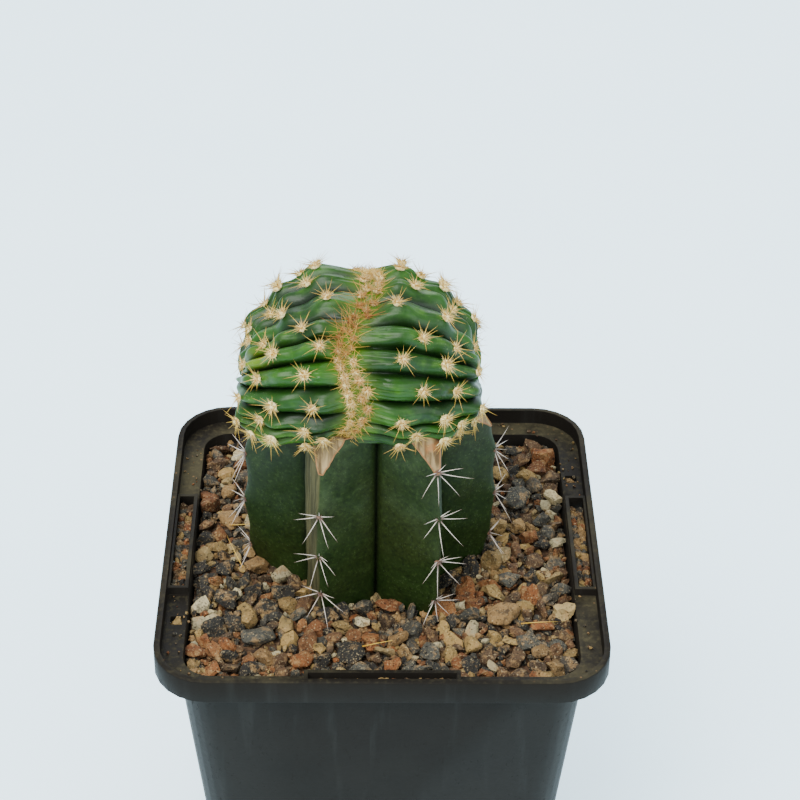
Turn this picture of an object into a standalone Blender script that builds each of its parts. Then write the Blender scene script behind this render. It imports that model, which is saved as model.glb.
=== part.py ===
"""A crested cactus grafted on a six-ribbed stem, in a square nursery pot filled with mineral grit.

The origin is the middle of the pot's underside, +Z is up, and the pot's front faces -Y.
All sizes are in metres.
"""

import math
import random

import bmesh
import bpy
import numpy as np
from mathutils import Matrix, Vector

MM = 0.001
CLEARANCE = 0.3 * MM  # between any two pieces that touch
OVERCUT = 5.0 * MM  # how far a cutter runs past what it cuts
JOIN = 0.4 * MM  # how far shapes that are joined run into each other
TINY = 0.01 * MM

# Pot: a tapered square body under a wider lip, with a ledge inside the lip.
RIM_WIDTH = 90.0 * MM
POT_HEIGHT = 90.0 * MM
RIM_BAND = 4.8 * MM
RIM_OVERHANG = 4.6 * MM
RIM_WALL = 1.3 * MM
RIM_CORNER = 11.0 * MM
LEDGE_THICKNESS = 1.3 * MM
BODY_WALL = 1.2 * MM
BODY_CORNER = 7.0 * MM
BODY_TAPER = math.radians(4.9)
FLOOR_THICKNESS = 1.4 * MM
FOOT_HEIGHT = 2.6 * MM  # the floor stands this high, so that water can run off
FOOT_WIDTH = 4.0 * MM
DRAIN_RADIUS = 3.5 * MM
DRAIN_REACH = 17.0 * MM
DRAIN_SEGMENTS = 20
LABEL_SLOT_LENGTH = 29.0 * MM
LABEL_SLOT_WIDTH = 3.0 * MM
LABEL_SLOT_MARGIN = 0.5 * MM  # from the slot to the lip's inner face
COLLAR_WALL = 0.8 * MM
COLLAR_HEIGHT = 1.8 * MM
PEG_HOLE = 2.4 * MM
PEG_OFFSET = 22.0 * MM
CORNER_SEGMENTS = 6

# Substrate, and the stones that lie on it.
GRIT_DROP = 7.0 * MM  # from the lip's top to the substrate's surface
GRIT_LUMP = 0.5 * MM
GRIT_CELL = 9.0 * MM
STONE_COUNT = 22
STONE_SMALLEST = 2.3 * MM  # half length
STONE_LARGEST = 4.3 * MM
STONE_SPACING = 0.8 * MM
STONE_CORNERS = 16
STONE_WIDTHS = (0.62, 0.85)  # least and most width of a stone, as shares of its length
STONE_HEIGHTS = (0.36, 0.5)

# Rootstock: six sharp ribs round an axis a little off the pot's middle. Each list goes round
# from the right rib: right, back right, back left, left, front left, front right.
STEM_AXIS = Vector((-1.8 * MM, 1.5 * MM))
STEM_HEIGHT = 42.9 * MM  # from the grit's surface to the graft
STEM_BURIED = 12.0 * MM
STEM_LEVELS = 10
STEM_WAIST = 0.93  # share of the full radius at the grit
STEM_SWELL = 0.75  # under 1, the stem is fullest below its middle
RIB_ANGLES = (-2.0, 60.0, 120.0, 187.0, 243.3, 300.7)  # degrees from +X
RIB_REACH = tuple(r * MM for r in (24.6, 24.0, 24.4, 26.2, 23.9, 25.0))
VALLEY_REACH = tuple(r * MM for r in (15.2, 15.0, 15.6, 17.0, 14.9, 15.2))
RIB_STEPS = (0.0, 0.05, 0.13, 0.42, 0.74, 0.93, 1.0)  # points from a rib's edge to the valley
RIB_ROUNDING = 0.06
RIB_PUFF = 0.5 * MM
CREASE_DEPTH = 0.8 * MM
CREASE_WIDTH = 0.07  # share of the way from the valley to the rib
# The knife's cut over each rib: the radius where it meets the graft face, and the height lost
# for each unit of radius. The front two cuts are short and steep.
TRIM_INNER = tuple(r * MM for r in (15.0, 15.0, 15.0, 15.0, 19.0, 19.0))
TRIM_SLOPES = (1.1, 0.7, 0.65, 0.6, 1.8, 1.15)
GRIT_STANDS = 1.6 * MM  # how far the loose stones stand above the substrate's surface

# Areoles of each rib: (first height above the grit, spacing, count).
AREOLE_RUNS = (
    (5.4 * MM, 11.0 * MM, 3),
    (4.8 * MM, 10.6 * MM, 3),
    (5.2 * MM, 10.4 * MM, 3),
    (4.4 * MM, 11.8 * MM, 3),
    (6.1 * MM, 10.0 * MM, 3),
    (4.2 * MM, 10.8 * MM, 4),
)
RIB_NAMES = ("right", "back_right", "back_left", "left", "front_left", "front_right")
SPINE_PAD = 0.75 * MM
SPINE_TIP = 0.2  # share of its foot's width
PAD_FLATNESS = 0.6
# Spines of one areole: (turn round the outward direction from straight up, lean out, length).
SPINE_STAR = (
    (18, 34, 3.4 * MM),
    (62, 30, 5.2 * MM),
    (104, 24, 6.4 * MM),
    (152, 30, 6.8 * MM),
    (196, 26, 7.0 * MM),
    (250, 26, 5.8 * MM),
    (302, 32, 5.0 * MM),
)

# Scion: a crested body whose growing point is a line over the top, from front to back.
CREST_SHIFT = Vector((-3.0 * MM, 0.1 * MM))  # from the rootstock's axis
CREST_LIFT = 5.1 * MM  # from the graft to the level of the widest part
CREST_HALF_WIDTH = 23.4 * MM
CREST_HALF_DEPTH = 20.0 * MM
CREST_RISE = 17.4 * MM
CREST_DROP = 10.8 * MM
CREST_BOXINESS = 0.84  # 1 is an ellipsoid, less is boxier
CREST_DROOP = 3.4 * MM
CREST_GROOVE = 1.5 * MM
CREST_GROOVE_SPREAD = 7.0  # degrees across
CREST_LINE_SHIFT = -2.0  # degrees across, where the growing line lies on average
CREST_LINE_SWAY = 3.0  # degrees
CREST_LINE_LEAN = 12.0  # degrees to the right, over the top
CREST_LINE_BAND = 13.0  # degrees from the line to where the ribs have their full height
CREST_RIBS = 22
CREST_RIB_DEPTH = 2.4 * MM
CREST_RIB_ROUNDING = 0.75  # under 1, the ribs are fat and the creases narrow
CREST_RIB_FLOOR = 0.62  # share of the depth that lies under the smooth body
CREST_ROWS = 110
CREST_COLUMNS = 22
# Fat lobes at the rib ends: (degrees round, degrees across, height, spread in degrees).
CREST_LOBES = (
    (-34, -44, 2.6 * MM, 15),
    (-8, -66, 1.8 * MM, 11),
    (52, -58, 1.2 * MM, 12),
    (86, -48, -2.4 * MM, 22),
    (20, 62, 1.4 * MM, 14),
    (-22, 50, 1.2 * MM, 13),
    (150, 55, 1.6 * MM, 14),
    (170, -50, 1.8 * MM, 15),
)
CREST_AREOLE_ACROSS = 38.0
CREST_AREOLE_EVERY = 2
CREST_AREOLES_A_SIDE = 7
CREST_PAD = 0.9 * MM
CREST_STAR_LENGTH = 3.6 * MM
CREST_STAR_LEAN = 30
CREST_STAR_COUNT = 7

MATERIALS = {
    "pot_plastic": ((0.035, 0.037, 0.040), 0.48),
    "grit_mix": ((0.115, 0.085, 0.058), 0.95),
    "stone": ((0.230, 0.165, 0.110), 0.92),
    "rootstock_skin": ((0.022, 0.050, 0.022), 0.50),
    "crest_skin": ((0.030, 0.115, 0.030), 0.42),
    "rootstock_spine": ((0.520, 0.470, 0.420), 0.55),
    "crest_spine": ((0.640, 0.440, 0.210), 0.60),
}

RIB_COUNT = len(RIB_ANGLES)
GRIT_TOP = POT_HEIGHT - GRIT_DROP
STONE_BASE = GRIT_TOP + GRIT_LUMP + CLEARANCE
SOIL_LINE = GRIT_TOP + GRIT_STANDS
GRAFT_HEIGHT = SOIL_LINE + STEM_HEIGHT
LEDGE_TOP = POT_HEIGHT - RIM_BAND + LEDGE_THICKNESS
FLOOR_TOP = FOOT_HEIGHT + FLOOR_THICKNESS
RIM_HALF = RIM_WIDTH / 2
CREST_CENTRE = Vector((*(STEM_AXIS + CREST_SHIFT), GRAFT_HEIGHT + CREST_LIFT))


# ---------------------------------------------------------------- scene and helpers


def clear_scene():
    for old in list(bpy.data.objects):
        bpy.data.objects.remove(old)


def new_collection(name):
    made = bpy.data.collections.new(name)
    bpy.context.scene.collection.children.link(made)
    return made


def material(name):
    found = bpy.data.materials.get(name)
    if found:
        return found
    colour, roughness = MATERIALS[name]
    made = bpy.data.materials.new(name)
    made.use_nodes = True
    shader = made.node_tree.nodes["Principled BSDF"]
    shader.inputs["Base Color"].default_value = (*colour, 1.0)
    shader.inputs["Roughness"].default_value = roughness
    shader.inputs["Metallic"].default_value = 0.0
    return made


def new_object(name, shape, collection, material_name=None):
    """Makes an object from a bmesh and frees the bmesh."""
    bmesh.ops.recalc_face_normals(shape, faces=shape.faces[:])
    mesh = bpy.data.meshes.new(name)
    shape.to_mesh(mesh)
    shape.free()
    made = bpy.data.objects.new(name, mesh)
    collection.objects.link(made)
    if material_name:
        mesh.materials.append(material(material_name))
        mesh.shade_smooth()
        mesh.set_sharp_from_angle(angle=math.radians(40))
    else:
        made.hide_render = True
        made.display_type = "WIRE"
    return made


def boolean(target, other, operation):
    change = target.modifiers.new(f"{operation.lower()} {other.name}", "BOOLEAN")
    change.operation = operation
    change.solver = "EXACT"
    change.object = other


def add_box(shape, low, high):
    low, high = Vector(low), Vector(high)
    place = Matrix.Translation((low + high) / 2) @ Matrix.Diagonal((*(high - low), 1.0))
    return bmesh.ops.create_cube(shape, size=1.0, matrix=place)["verts"]


def add_rounded_block(shape, half_low, half_high, low, high, corner):
    """A square block from height low to high, which may taper, with rounded upright edges."""
    corners = add_box(shape, (-half_low, -half_low, low), (half_low, half_low, high))
    for corner_point in corners:
        if corner_point.co.z > (low + high) / 2:
            corner_point.co.x *= half_high / half_low
            corner_point.co.y *= half_high / half_low
    upright = {
        edge
        for corner_point in corners
        for edge in corner_point.link_edges
        if abs(edge.verts[0].co.z - edge.verts[1].co.z) > (high - low) / 2
    }
    bmesh.ops.bevel(
        shape, geom=list(upright), offset=corner, segments=CORNER_SEGMENTS, affect="EDGES", profile=0.5
    )


def four_sides(shape, low, high):
    """The same box at each side of the pot, turned about the pot's axis."""
    for quarter in range(4):
        corners = add_box(shape, low, high)
        turn = Matrix.Rotation(math.radians(90 * quarter), 4, "Z")
        bmesh.ops.transform(shape, matrix=turn, verts=corners)


# ---------------------------------------------------------------- pot


def body_half(height):
    """Half the body's outer width at a height."""
    under_lip = POT_HEIGHT - RIM_BAND
    return RIM_HALF - RIM_OVERHANG - (under_lip - height) * math.tan(BODY_TAPER)


def cavity_half(height):
    return body_half(height) - BODY_WALL


def build_pot(parts, tools):
    under_lip = POT_HEIGHT - RIM_BAND
    shape = bmesh.new()
    add_rounded_block(shape, body_half(0), body_half(under_lip), 0, under_lip, BODY_CORNER)
    pot = new_object("pot", shape, parts, "pot_plastic")

    shape = bmesh.new()
    add_rounded_block(shape, RIM_HALF, RIM_HALF, under_lip - JOIN, POT_HEIGHT, RIM_CORNER)
    lip_edges = [e for e in shape.edges if all(v.co.z > POT_HEIGHT - TINY for v in e.verts)]
    bmesh.ops.bevel(shape, geom=lip_edges, offset=RIM_WALL / 3, segments=2, affect="EDGES", profile=0.5)
    boolean(pot, new_object("lip_block", shape, tools), "UNION")

    shape = bmesh.new()
    inner = RIM_HALF - RIM_WALL
    add_rounded_block(shape, inner, inner, LEDGE_TOP, POT_HEIGHT + OVERCUT, RIM_CORNER - RIM_WALL)
    boolean(pot, new_object("lip_hollow", shape, tools), "DIFFERENCE")

    shape = bmesh.new()
    mouth = LEDGE_TOP + OVERCUT / 4
    add_rounded_block(
        shape, cavity_half(FLOOR_TOP), cavity_half(mouth), FLOOR_TOP, mouth, BODY_CORNER - BODY_WALL
    )
    boolean(pot, new_object("body_hollow", shape, tools), "DIFFERENCE")

    slot_outer = RIM_HALF - RIM_WALL - LABEL_SLOT_MARGIN
    slot_inner = slot_outer - LABEL_SLOT_WIDTH
    half_slot = LABEL_SLOT_LENGTH / 2
    shape = bmesh.new()
    four_sides(
        shape,
        (slot_inner - COLLAR_WALL, -half_slot - COLLAR_WALL, LEDGE_TOP - JOIN),
        (RIM_HALF - RIM_WALL / 2, half_slot + COLLAR_WALL, LEDGE_TOP + COLLAR_HEIGHT),
    )
    boolean(pot, new_object("label_collars", shape, tools), "UNION")

    shape = bmesh.new()
    four_sides(
        shape,
        (slot_inner, -half_slot, under_lip - OVERCUT),
        (slot_outer, half_slot, POT_HEIGHT + OVERCUT),
    )
    four_sides(
        shape,
        (slot_inner, PEG_OFFSET, under_lip - OVERCUT),
        (slot_inner + PEG_HOLE, PEG_OFFSET + PEG_HOLE, POT_HEIGHT + OVERCUT),
    )
    boolean(pot, new_object("label_slots", shape, tools), "DIFFERENCE")

    shape = bmesh.new()
    recess = body_half(0) - FOOT_WIDTH
    add_rounded_block(shape, recess, recess, -OVERCUT, FOOT_HEIGHT, BODY_CORNER - FOOT_WIDTH)
    boolean(pot, new_object("foot_recess", shape, tools), "DIFFERENCE")

    shape = bmesh.new()
    for x, y in drain_centres():
        bmesh.ops.create_cone(
            shape,
            cap_ends=True,
            segments=DRAIN_SEGMENTS,
            radius1=DRAIN_RADIUS,
            radius2=DRAIN_RADIUS,
            depth=2 * OVERCUT,
            matrix=Matrix.Translation((x, y, FLOOR_TOP)),
        )
    boolean(pot, new_object("drain_drills", shape, tools), "DIFFERENCE")


def drain_centres():
    reach = DRAIN_REACH
    return [(0, 0)] + [(sx * reach, sy * reach) for sx in (-1, 1) for sy in (-1, 1)]


# ---------------------------------------------------------------- rootstock


def rib_angle(rib):
    return math.radians(RIB_ANGLES[rib % RIB_COUNT])


def rib_spacing(rib):
    """The turn from one rib to the next."""
    return (rib_angle(rib + 1) - rib_angle(rib)) % (2 * math.pi)


def stem_swell(height):
    """Share of the full radius at a height: waisted at the grit and again near the graft."""
    share = min(max((height - SOIL_LINE) / STEM_HEIGHT, 0.0), 1.0)
    return STEM_WAIST + (1 - STEM_WAIST) * math.sin(math.pi * share**STEM_SWELL)


def stem_radius(rib, valley, share, height):
    """Radius of the star-shaped stem: flat faces, rounded rib edges and creased valleys.

    share runs from 0 on the rib's edge to 1 in the valley beside it.
    """
    reach = RIB_REACH[rib % RIB_COUNT] * stem_swell(height)
    floor = VALLEY_REACH[valley % RIB_COUNT]
    half = rib_spacing(valley) / 2
    eased = (math.hypot(share, RIB_ROUNDING) - RIB_ROUNDING) / (
        math.hypot(1.0, RIB_ROUNDING) - RIB_ROUNDING
    )
    turn = eased * half
    flat = reach * floor * math.sin(half) / (
        reach * math.sin(turn) + floor * math.sin(half - turn)
    )
    puff = RIB_PUFF * math.sin(math.pi * share)
    crease = CREASE_DEPTH * math.exp(-(((1 - share) / CREASE_WIDTH) ** 2))
    return flat + puff - crease


def stem_columns():
    """(angle, rib, valley, share) of the points round the stem, from rib edge to rib edge."""
    columns = []
    for rib in range(RIB_COUNT):
        half = rib_spacing(rib) / 2
        for share in RIB_STEPS:
            columns.append((rib_angle(rib) + share * half, rib, rib, share))
        for share in reversed(RIB_STEPS[1:-1]):
            columns.append((rib_angle(rib) + (2 - share) * half, rib + 1, rib, share))
    return columns


def cut_away(shape, point, normal):
    """Cuts off what lies beyond a plane and closes the cut."""
    everything = shape.verts[:] + shape.edges[:] + shape.faces[:]
    cut = bmesh.ops.bisect_plane(
        shape, geom=everything, plane_co=point, plane_no=normal, clear_outer=True
    )
    rim = [item for item in cut["geom_cut"] if isinstance(item, bmesh.types.BMEdge)]
    bmesh.ops.edgenet_fill(shape, edges=rim)


def stem_shape(grown=0.0):
    """The ribbed column, from its buried foot to the knife's cuts, grown outward by a margin."""
    low = GRIT_TOP - STEM_BURIED - grown
    high = GRAFT_HEIGHT + OVERCUT
    columns = stem_columns()
    shape = bmesh.new()
    bmesh.ops.create_cone(
        shape, cap_ends=True, segments=len(columns), radius1=1.0, radius2=1.0, depth=2.0
    )
    upright = [e for e in shape.edges if abs(e.verts[0].co.z - e.verts[1].co.z) > 1.0]
    bmesh.ops.subdivide_edges(shape, edges=upright, cuts=STEM_LEVELS - 1)
    for point in shape.verts:
        turn = math.atan2(point.co.y, point.co.x) / (2 * math.pi)
        angle, rib, valley, share = columns[round(turn * len(columns)) % len(columns)]
        height = low + (high - low) * (point.co.z + 1) / 2
        radius = stem_radius(rib, valley, share, height) + grown
        point.co = (
            STEM_AXIS.x + radius * math.cos(angle),
            STEM_AXIS.y + radius * math.sin(angle),
            height,
        )
    cut_away(shape, Vector((*STEM_AXIS, GRAFT_HEIGHT + grown)), Vector((0, 0, 1)))
    for rib, (inner, slope) in enumerate(zip(TRIM_INNER, TRIM_SLOPES)):
        outward = Vector((math.cos(rib_angle(rib)), math.sin(rib_angle(rib)), 0))
        across = (outward * slope + Vector((0, 0, 1))).normalized()
        start = Vector((*STEM_AXIS, GRAFT_HEIGHT)) + outward * inner
        cut_away(shape, start + across * grown, across)
    return shape


def build_rootstock(parts, tools):
    """The stem, and the seat that the substrate and the scion are cut back to."""
    new_object("rootstock", stem_shape(), parts, "rootstock_skin")
    return new_object("stem_seat", stem_shape(CLEARANCE), tools)


# ---------------------------------------------------------------- substrate and stones


def build_substrate(parts, seat):
    low = FLOOR_TOP + CLEARANCE
    gap = CLEARANCE / math.cos(BODY_TAPER)
    corner = BODY_CORNER - BODY_WALL
    shape = bmesh.new()
    add_rounded_block(shape, cavity_half(low) - gap, cavity_half(GRIT_TOP) - gap, low, GRIT_TOP, corner)
    reach = cavity_half(GRIT_TOP)
    cells = int(reach // GRIT_CELL)
    for axis in (Vector((1, 0, 0)), Vector((0, 1, 0))):
        for index in range(-cells, cells + 1):
            everything = shape.verts[:] + shape.edges[:] + shape.faces[:]
            bmesh.ops.bisect_plane(
                shape, geom=everything, plane_co=axis * index * GRIT_CELL, plane_no=axis
            )
    lumps = random.Random(5)
    for point in sorted(shape.verts, key=lambda v: (round(v.co.x, 6), round(v.co.y, 6))):
        on_top = point.co.z > GRIT_TOP - TINY
        inside = max(abs(point.co.x), abs(point.co.y)) < reach - GRIT_CELL / 4
        if on_top and inside:
            point.co.z += lumps.uniform(-1, 1) * GRIT_LUMP
    plug = new_object("substrate", shape, parts, "grit_mix")
    boolean(plug, seat, "DIFFERENCE")


def stone_places():
    """Middles and half lengths of the big stones, thrown on the grit until each has room."""
    dice = random.Random(11)
    stem_room = max(RIB_REACH)
    wall = cavity_half(STONE_BASE) - CLEARANCE
    placed = []
    tries = 0
    while len(placed) < STONE_COUNT and tries < 20000:
        tries += 1
        size = dice.uniform(STONE_SMALLEST, STONE_LARGEST)
        place = Vector((dice.uniform(-wall, wall), dice.uniform(-wall, wall)))
        clear_of_wall = max(abs(place.x), abs(place.y)) + size < wall - BODY_CORNER / 4
        clear_of_stem = (place - STEM_AXIS).length > stem_room + size + STONE_SPACING
        clear_of_others = all(
            (place - other).length > size + other_size + STONE_SPACING for other, other_size in placed
        )
        if clear_of_wall and clear_of_stem and clear_of_others:
            placed.append((place, size))
    return placed


def build_stones(parts):
    dice = random.Random(23)
    for index, (place, size) in enumerate(stone_places(), 1):
        half = Vector((1.0, dice.uniform(*STONE_WIDTHS), dice.uniform(*STONE_HEIGHTS))) * size
        shape = bmesh.new()
        for _ in range(STONE_CORNERS):
            direction = Vector([dice.gauss(0, 1) for _ in range(3)]).normalized()
            shape.verts.new([d * h for d, h in zip(direction, half)])
        hull = bmesh.ops.convex_hull(shape, input=shape.verts[:])
        bmesh.ops.delete(shape, geom=list(set(hull["geom_interior"])), context="VERTS")
        bmesh.ops.rotate(
            shape, matrix=Matrix.Rotation(dice.uniform(0, 2 * math.pi), 3, "Z"), verts=shape.verts[:]
        )
        lowest = min(v.co.z for v in shape.verts)
        bmesh.ops.translate(shape, vec=(*place, STONE_BASE - lowest), verts=shape.verts[:])
        new_object(f"stone_{index:02d}", shape, parts, "stone")


# ---------------------------------------------------------------- spine clusters


def star_direction(turn, lean):
    """A direction beside an areole: turned clockwise from its up side, leaning outward."""
    turn, lean = math.radians(turn), math.radians(lean)
    return Vector((math.sin(turn) * math.cos(lean), math.cos(turn) * math.cos(lean), math.sin(lean)))


def facing(outward, upward):
    """A rotation whose Z is the outward direction and whose Y is as near upward as it can be."""
    side = upward.cross(outward).normalized()
    return Matrix((side, outward.cross(side), outward)).transposed()


def build_areole(name, foot, turned, pad, star, parts, material_name, lowest=None):
    """One areole: a felted cushion whose side facets are drawn out into spines, as one body.

    star holds (turn, lean, length) for each spine; no tip goes below the height lowest.
    """
    shape = bmesh.new()
    flatten = Matrix.Diagonal((1.0, 1.0, PAD_FLATNESS, 1.0))
    bmesh.ops.create_uvsphere(
        shape, u_segments=len(star), v_segments=3, radius=pad, matrix=flatten
    )
    sides = [face for face in shape.faces if len(face.verts) == 4]
    sides.sort(key=lambda face: math.atan2(*face.calc_center_median().xy) % (2 * math.pi))
    for facet, (turn, lean, length) in zip(sides, star):
        direction = star_direction(turn, lean)
        drop = -(turned @ direction).z
        if lowest is not None and drop > 0:
            length = min(length, (foot.z - lowest) / drop)
        if length < 2 * pad:
            continue
        drawn = bmesh.ops.extrude_discrete_faces(shape, faces=[facet])["faces"][0]
        middle = drawn.calc_center_median()
        for point in drawn.verts:
            point.co = direction * length + (point.co - middle) * SPINE_TIP
    bmesh.ops.transform(
        shape, matrix=Matrix.Translation(foot) @ turned.to_4x4(), verts=shape.verts[:]
    )
    return new_object(name, shape, parts, material_name)


def build_rootstock_spines(parts):
    lowest_tip = STONE_BASE + STONE_LARGEST * max(STONE_HEIGHTS)
    for rib, (name, (first, spacing, count)) in enumerate(zip(RIB_NAMES, AREOLE_RUNS)):
        outward = Vector((math.cos(rib_angle(rib)), math.sin(rib_angle(rib)), 0))
        turned = facing(outward, Vector((0, 0, 1)))
        for number in range(count):
            height = SOIL_LINE + first + spacing * number
            reach = stem_radius(rib, rib, 0.0, height) + CLEARANCE + SPINE_PAD * PAD_FLATNESS
            foot = Vector((*STEM_AXIS, height)) + outward * reach
            build_areole(
                f"spines_{name}_{number + 1}",
                foot,
                turned,
                SPINE_PAD,
                SPINE_STAR,
                parts,
                "rootstock_spine",
                lowest_tip,
            )


# ---------------------------------------------------------------- crested scion


def signed_power(value, power):
    return np.sign(value) * np.abs(value) ** power


def crest_body(around, across):
    """The smooth body: angles in radians, 0 round is the front, a quarter turn is the top."""
    x = signed_power(np.sin(across), CREST_BOXINESS)
    wheel = signed_power(np.cos(across), CREST_BOXINESS)
    front = signed_power(np.cos(around), CREST_BOXINESS)
    up = signed_power(np.sin(around), CREST_BOXINESS)
    rise = np.where(up > 0, CREST_RISE, CREST_DROP)
    return np.stack(
        [
            CREST_CENTRE.x + CREST_HALF_WIDTH * x,
            CREST_CENTRE.y - CREST_HALF_DEPTH * wheel * front,
            CREST_CENTRE.z + rise * wheel * up - CREST_DROOP * x**2,
        ],
        axis=-1,
    )


def crest_living(around):
    """1 along the growing line and 0 on the underside, where the scion was cut."""
    return np.clip((np.sin(around) + 0.75) / 0.35, 0, 1)


def crest_line(around):
    """Degrees across at which the growing line lies: it sways, and leans right over the top."""
    over_top = np.clip(np.sin(around - math.radians(40)), 0, 1)
    return CREST_LINE_SHIFT + CREST_LINE_SWAY * np.sin(4 * around + 1.0) + CREST_LINE_LEAN * over_top


def crest_rib_phase(around, across):
    """Whole numbers at the rib tops: the two sides are half a rib out of step."""
    uneven = 0.10 * np.sin(3 * around + 0.6) + 0.05 * np.sin(5 * around + 2.0)
    side = np.where(np.degrees(across) > crest_line(around), 0.5, 0.0)
    return CREST_RIBS * (around / (2 * np.pi) + uneven / (2 * np.pi)) + side


def crest_relief(around, across):
    """Height of the ribs, the groove and the lobes over the smooth body."""
    degrees = np.degrees(across)
    living = crest_living(around)
    ridge = np.abs(np.cos(np.pi * crest_rib_phase(around, across))) ** CREST_RIB_ROUNDING - CREST_RIB_FLOOR
    from_line = degrees - crest_line(around)
    flank = np.clip(np.abs(from_line) / CREST_LINE_BAND, 0, 1) ** 0.7 * np.clip(
        (90 - np.abs(degrees)) / 22, 0, 1
    )
    height = CREST_RIB_DEPTH * ridge * flank * (0.25 + 0.75 * living)
    height = height - CREST_GROOVE * living * np.exp(-((from_line / CREST_GROOVE_SPREAD) ** 2))
    for lobe_around, lobe_across, lobe_height, spread in CREST_LOBES:
        turn = (np.degrees(around) - lobe_around + 180) % 360 - 180
        distance = np.hypot(turn * np.cos(across), degrees - lobe_across)
        height = height + lobe_height * np.exp(-((distance / spread) ** 2))
    return height


def crest_surface(around, across):
    """(points, normals) of the ribbed body."""
    around, across = np.asarray(around, float), np.asarray(across, float)
    step = 1e-3
    points = crest_body(around, across)
    by_around = crest_body(around + step, across) - crest_body(around - step, across)
    by_across = crest_body(around, across + step) - crest_body(around, across - step)
    normals = np.cross(by_around, by_across)
    length = np.linalg.norm(normals, axis=-1, keepdims=True)
    normals = normals / np.maximum(length, 1e-12)
    outward = points - np.array(CREST_CENTRE)
    facing = np.sign(np.sum(normals * outward, axis=-1, keepdims=True))
    normals = normals * np.where(facing == 0, 1, facing)
    return points + normals * crest_relief(around, across)[..., None], normals


def build_scion(parts, seat):
    shape = bmesh.new()
    bmesh.ops.create_uvsphere(
        shape, u_segments=CREST_ROWS, v_segments=CREST_COLUMNS, radius=1.0
    )
    unit = np.array([v.co for v in shape.verts])
    across = np.arcsin(np.clip(unit[:, 2], -1, 1))
    around = np.arctan2(unit[:, 1], unit[:, 0])
    pole = np.radians(89.5)
    points, _ = crest_surface(around, np.clip(across, -pole, pole))
    for point, place in zip(shape.verts, points):
        point.co = place
    scion = new_object("crested_scion", shape, parts, "crest_skin")
    boolean(scion, seat, "DIFFERENCE")


def build_scion_areoles(parts):
    for side, sign in (("left", -1), ("right", 1)):
        across = math.radians(CREST_AREOLE_ACROSS) * sign
        for number in range(CREST_AREOLES_A_SIDE):
            rib = number * CREST_AREOLE_EVERY - 1
            around = crest_rib_top(rib, across)
            points, normals = crest_surface([around], [across])
            outward = Vector(normals[0])
            foot = Vector(points[0]) + outward * (CLEARANCE * 1.6 + CREST_PAD * PAD_FLATNESS)
            star = [
                (360 / CREST_STAR_COUNT * (k + 0.5), CREST_STAR_LEAN, CREST_STAR_LENGTH)
                for k in range(CREST_STAR_COUNT)
            ]
            build_areole(
                f"areole_{side}_{number + 1}",
                foot,
                facing(outward, Vector((0.2, -0.3, 1.0)).normalized()),
                CREST_PAD,
                star,
                parts,
                "crest_spine",
            )


def crest_rib_top(rib, across):
    """The angle round at which a rib's top lies, found by bisection on the rib phase."""
    low, high = math.radians(-120), math.radians(240)
    for _ in range(50):
        middle = (low + high) / 2
        if float(crest_rib_phase(np.array(middle), np.array(across))) < rib:
            low = middle
        else:
            high = middle
    return (low + high) / 2


def main():
    clear_scene()
    parts = new_collection("potted_crested_cactus")
    tools = new_collection("cutters")
    build_pot(parts, tools)
    seat = build_rootstock(parts, tools)
    build_substrate(parts, seat)
    build_stones(parts)
    build_rootstock_spines(parts)
    build_scion(parts, seat)
    build_scion_areoles(parts)


main()
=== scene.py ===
# %% [markdown]
# # A grafted crested cactus in a square nursery pot
#
# A crested cactus is one whose growing point has turned into a line. This one sits on the cut
# top of a ribbed column, in a black plastic pot filled with mineral grit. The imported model
# already holds every part at its true size, so it is loaded first. Each looks piece below takes
# its place from it, and stands for one of its nodes.

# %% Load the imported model
import math
import random

import bpy
import numpy as np
from mathutils import Matrix, Vector, noise


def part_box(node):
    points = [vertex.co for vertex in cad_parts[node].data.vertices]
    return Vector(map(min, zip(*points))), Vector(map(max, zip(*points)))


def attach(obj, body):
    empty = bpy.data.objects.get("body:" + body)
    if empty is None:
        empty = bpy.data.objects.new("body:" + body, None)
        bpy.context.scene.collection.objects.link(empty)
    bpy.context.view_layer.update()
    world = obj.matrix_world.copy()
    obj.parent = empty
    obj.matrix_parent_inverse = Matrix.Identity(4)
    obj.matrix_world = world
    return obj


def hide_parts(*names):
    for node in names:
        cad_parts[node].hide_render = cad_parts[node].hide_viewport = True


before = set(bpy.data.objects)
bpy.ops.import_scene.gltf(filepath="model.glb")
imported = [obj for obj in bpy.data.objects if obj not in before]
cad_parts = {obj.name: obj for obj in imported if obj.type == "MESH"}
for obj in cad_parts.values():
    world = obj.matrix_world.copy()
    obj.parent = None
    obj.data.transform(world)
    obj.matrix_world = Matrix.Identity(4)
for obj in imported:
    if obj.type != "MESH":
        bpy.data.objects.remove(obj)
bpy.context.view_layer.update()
MM = 0.001
print("the packed model holds", len(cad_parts), "nodes")

# %% [markdown]
# ## The camera
#
# The camera looks down on the pot from in front, with a long lens, so the pot's sides hardly
# converge. An upright direction is turned a little to the right and rolled a little, as a
# camera held in the hand is. It is made first, so that every later piece can be judged through it.

# %% Camera
CAMERA_PLACE = Vector((-3.0, -355.5, 384.0)) * MM
CAMERA_DOWN = math.radians(36.106)
CAMERA_TURN = math.radians(1.025)
CAMERA_ROLL = math.radians(0.857)
CAMERA_LENS = 99.2  # mm, on a sensor 36 mm wide


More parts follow.
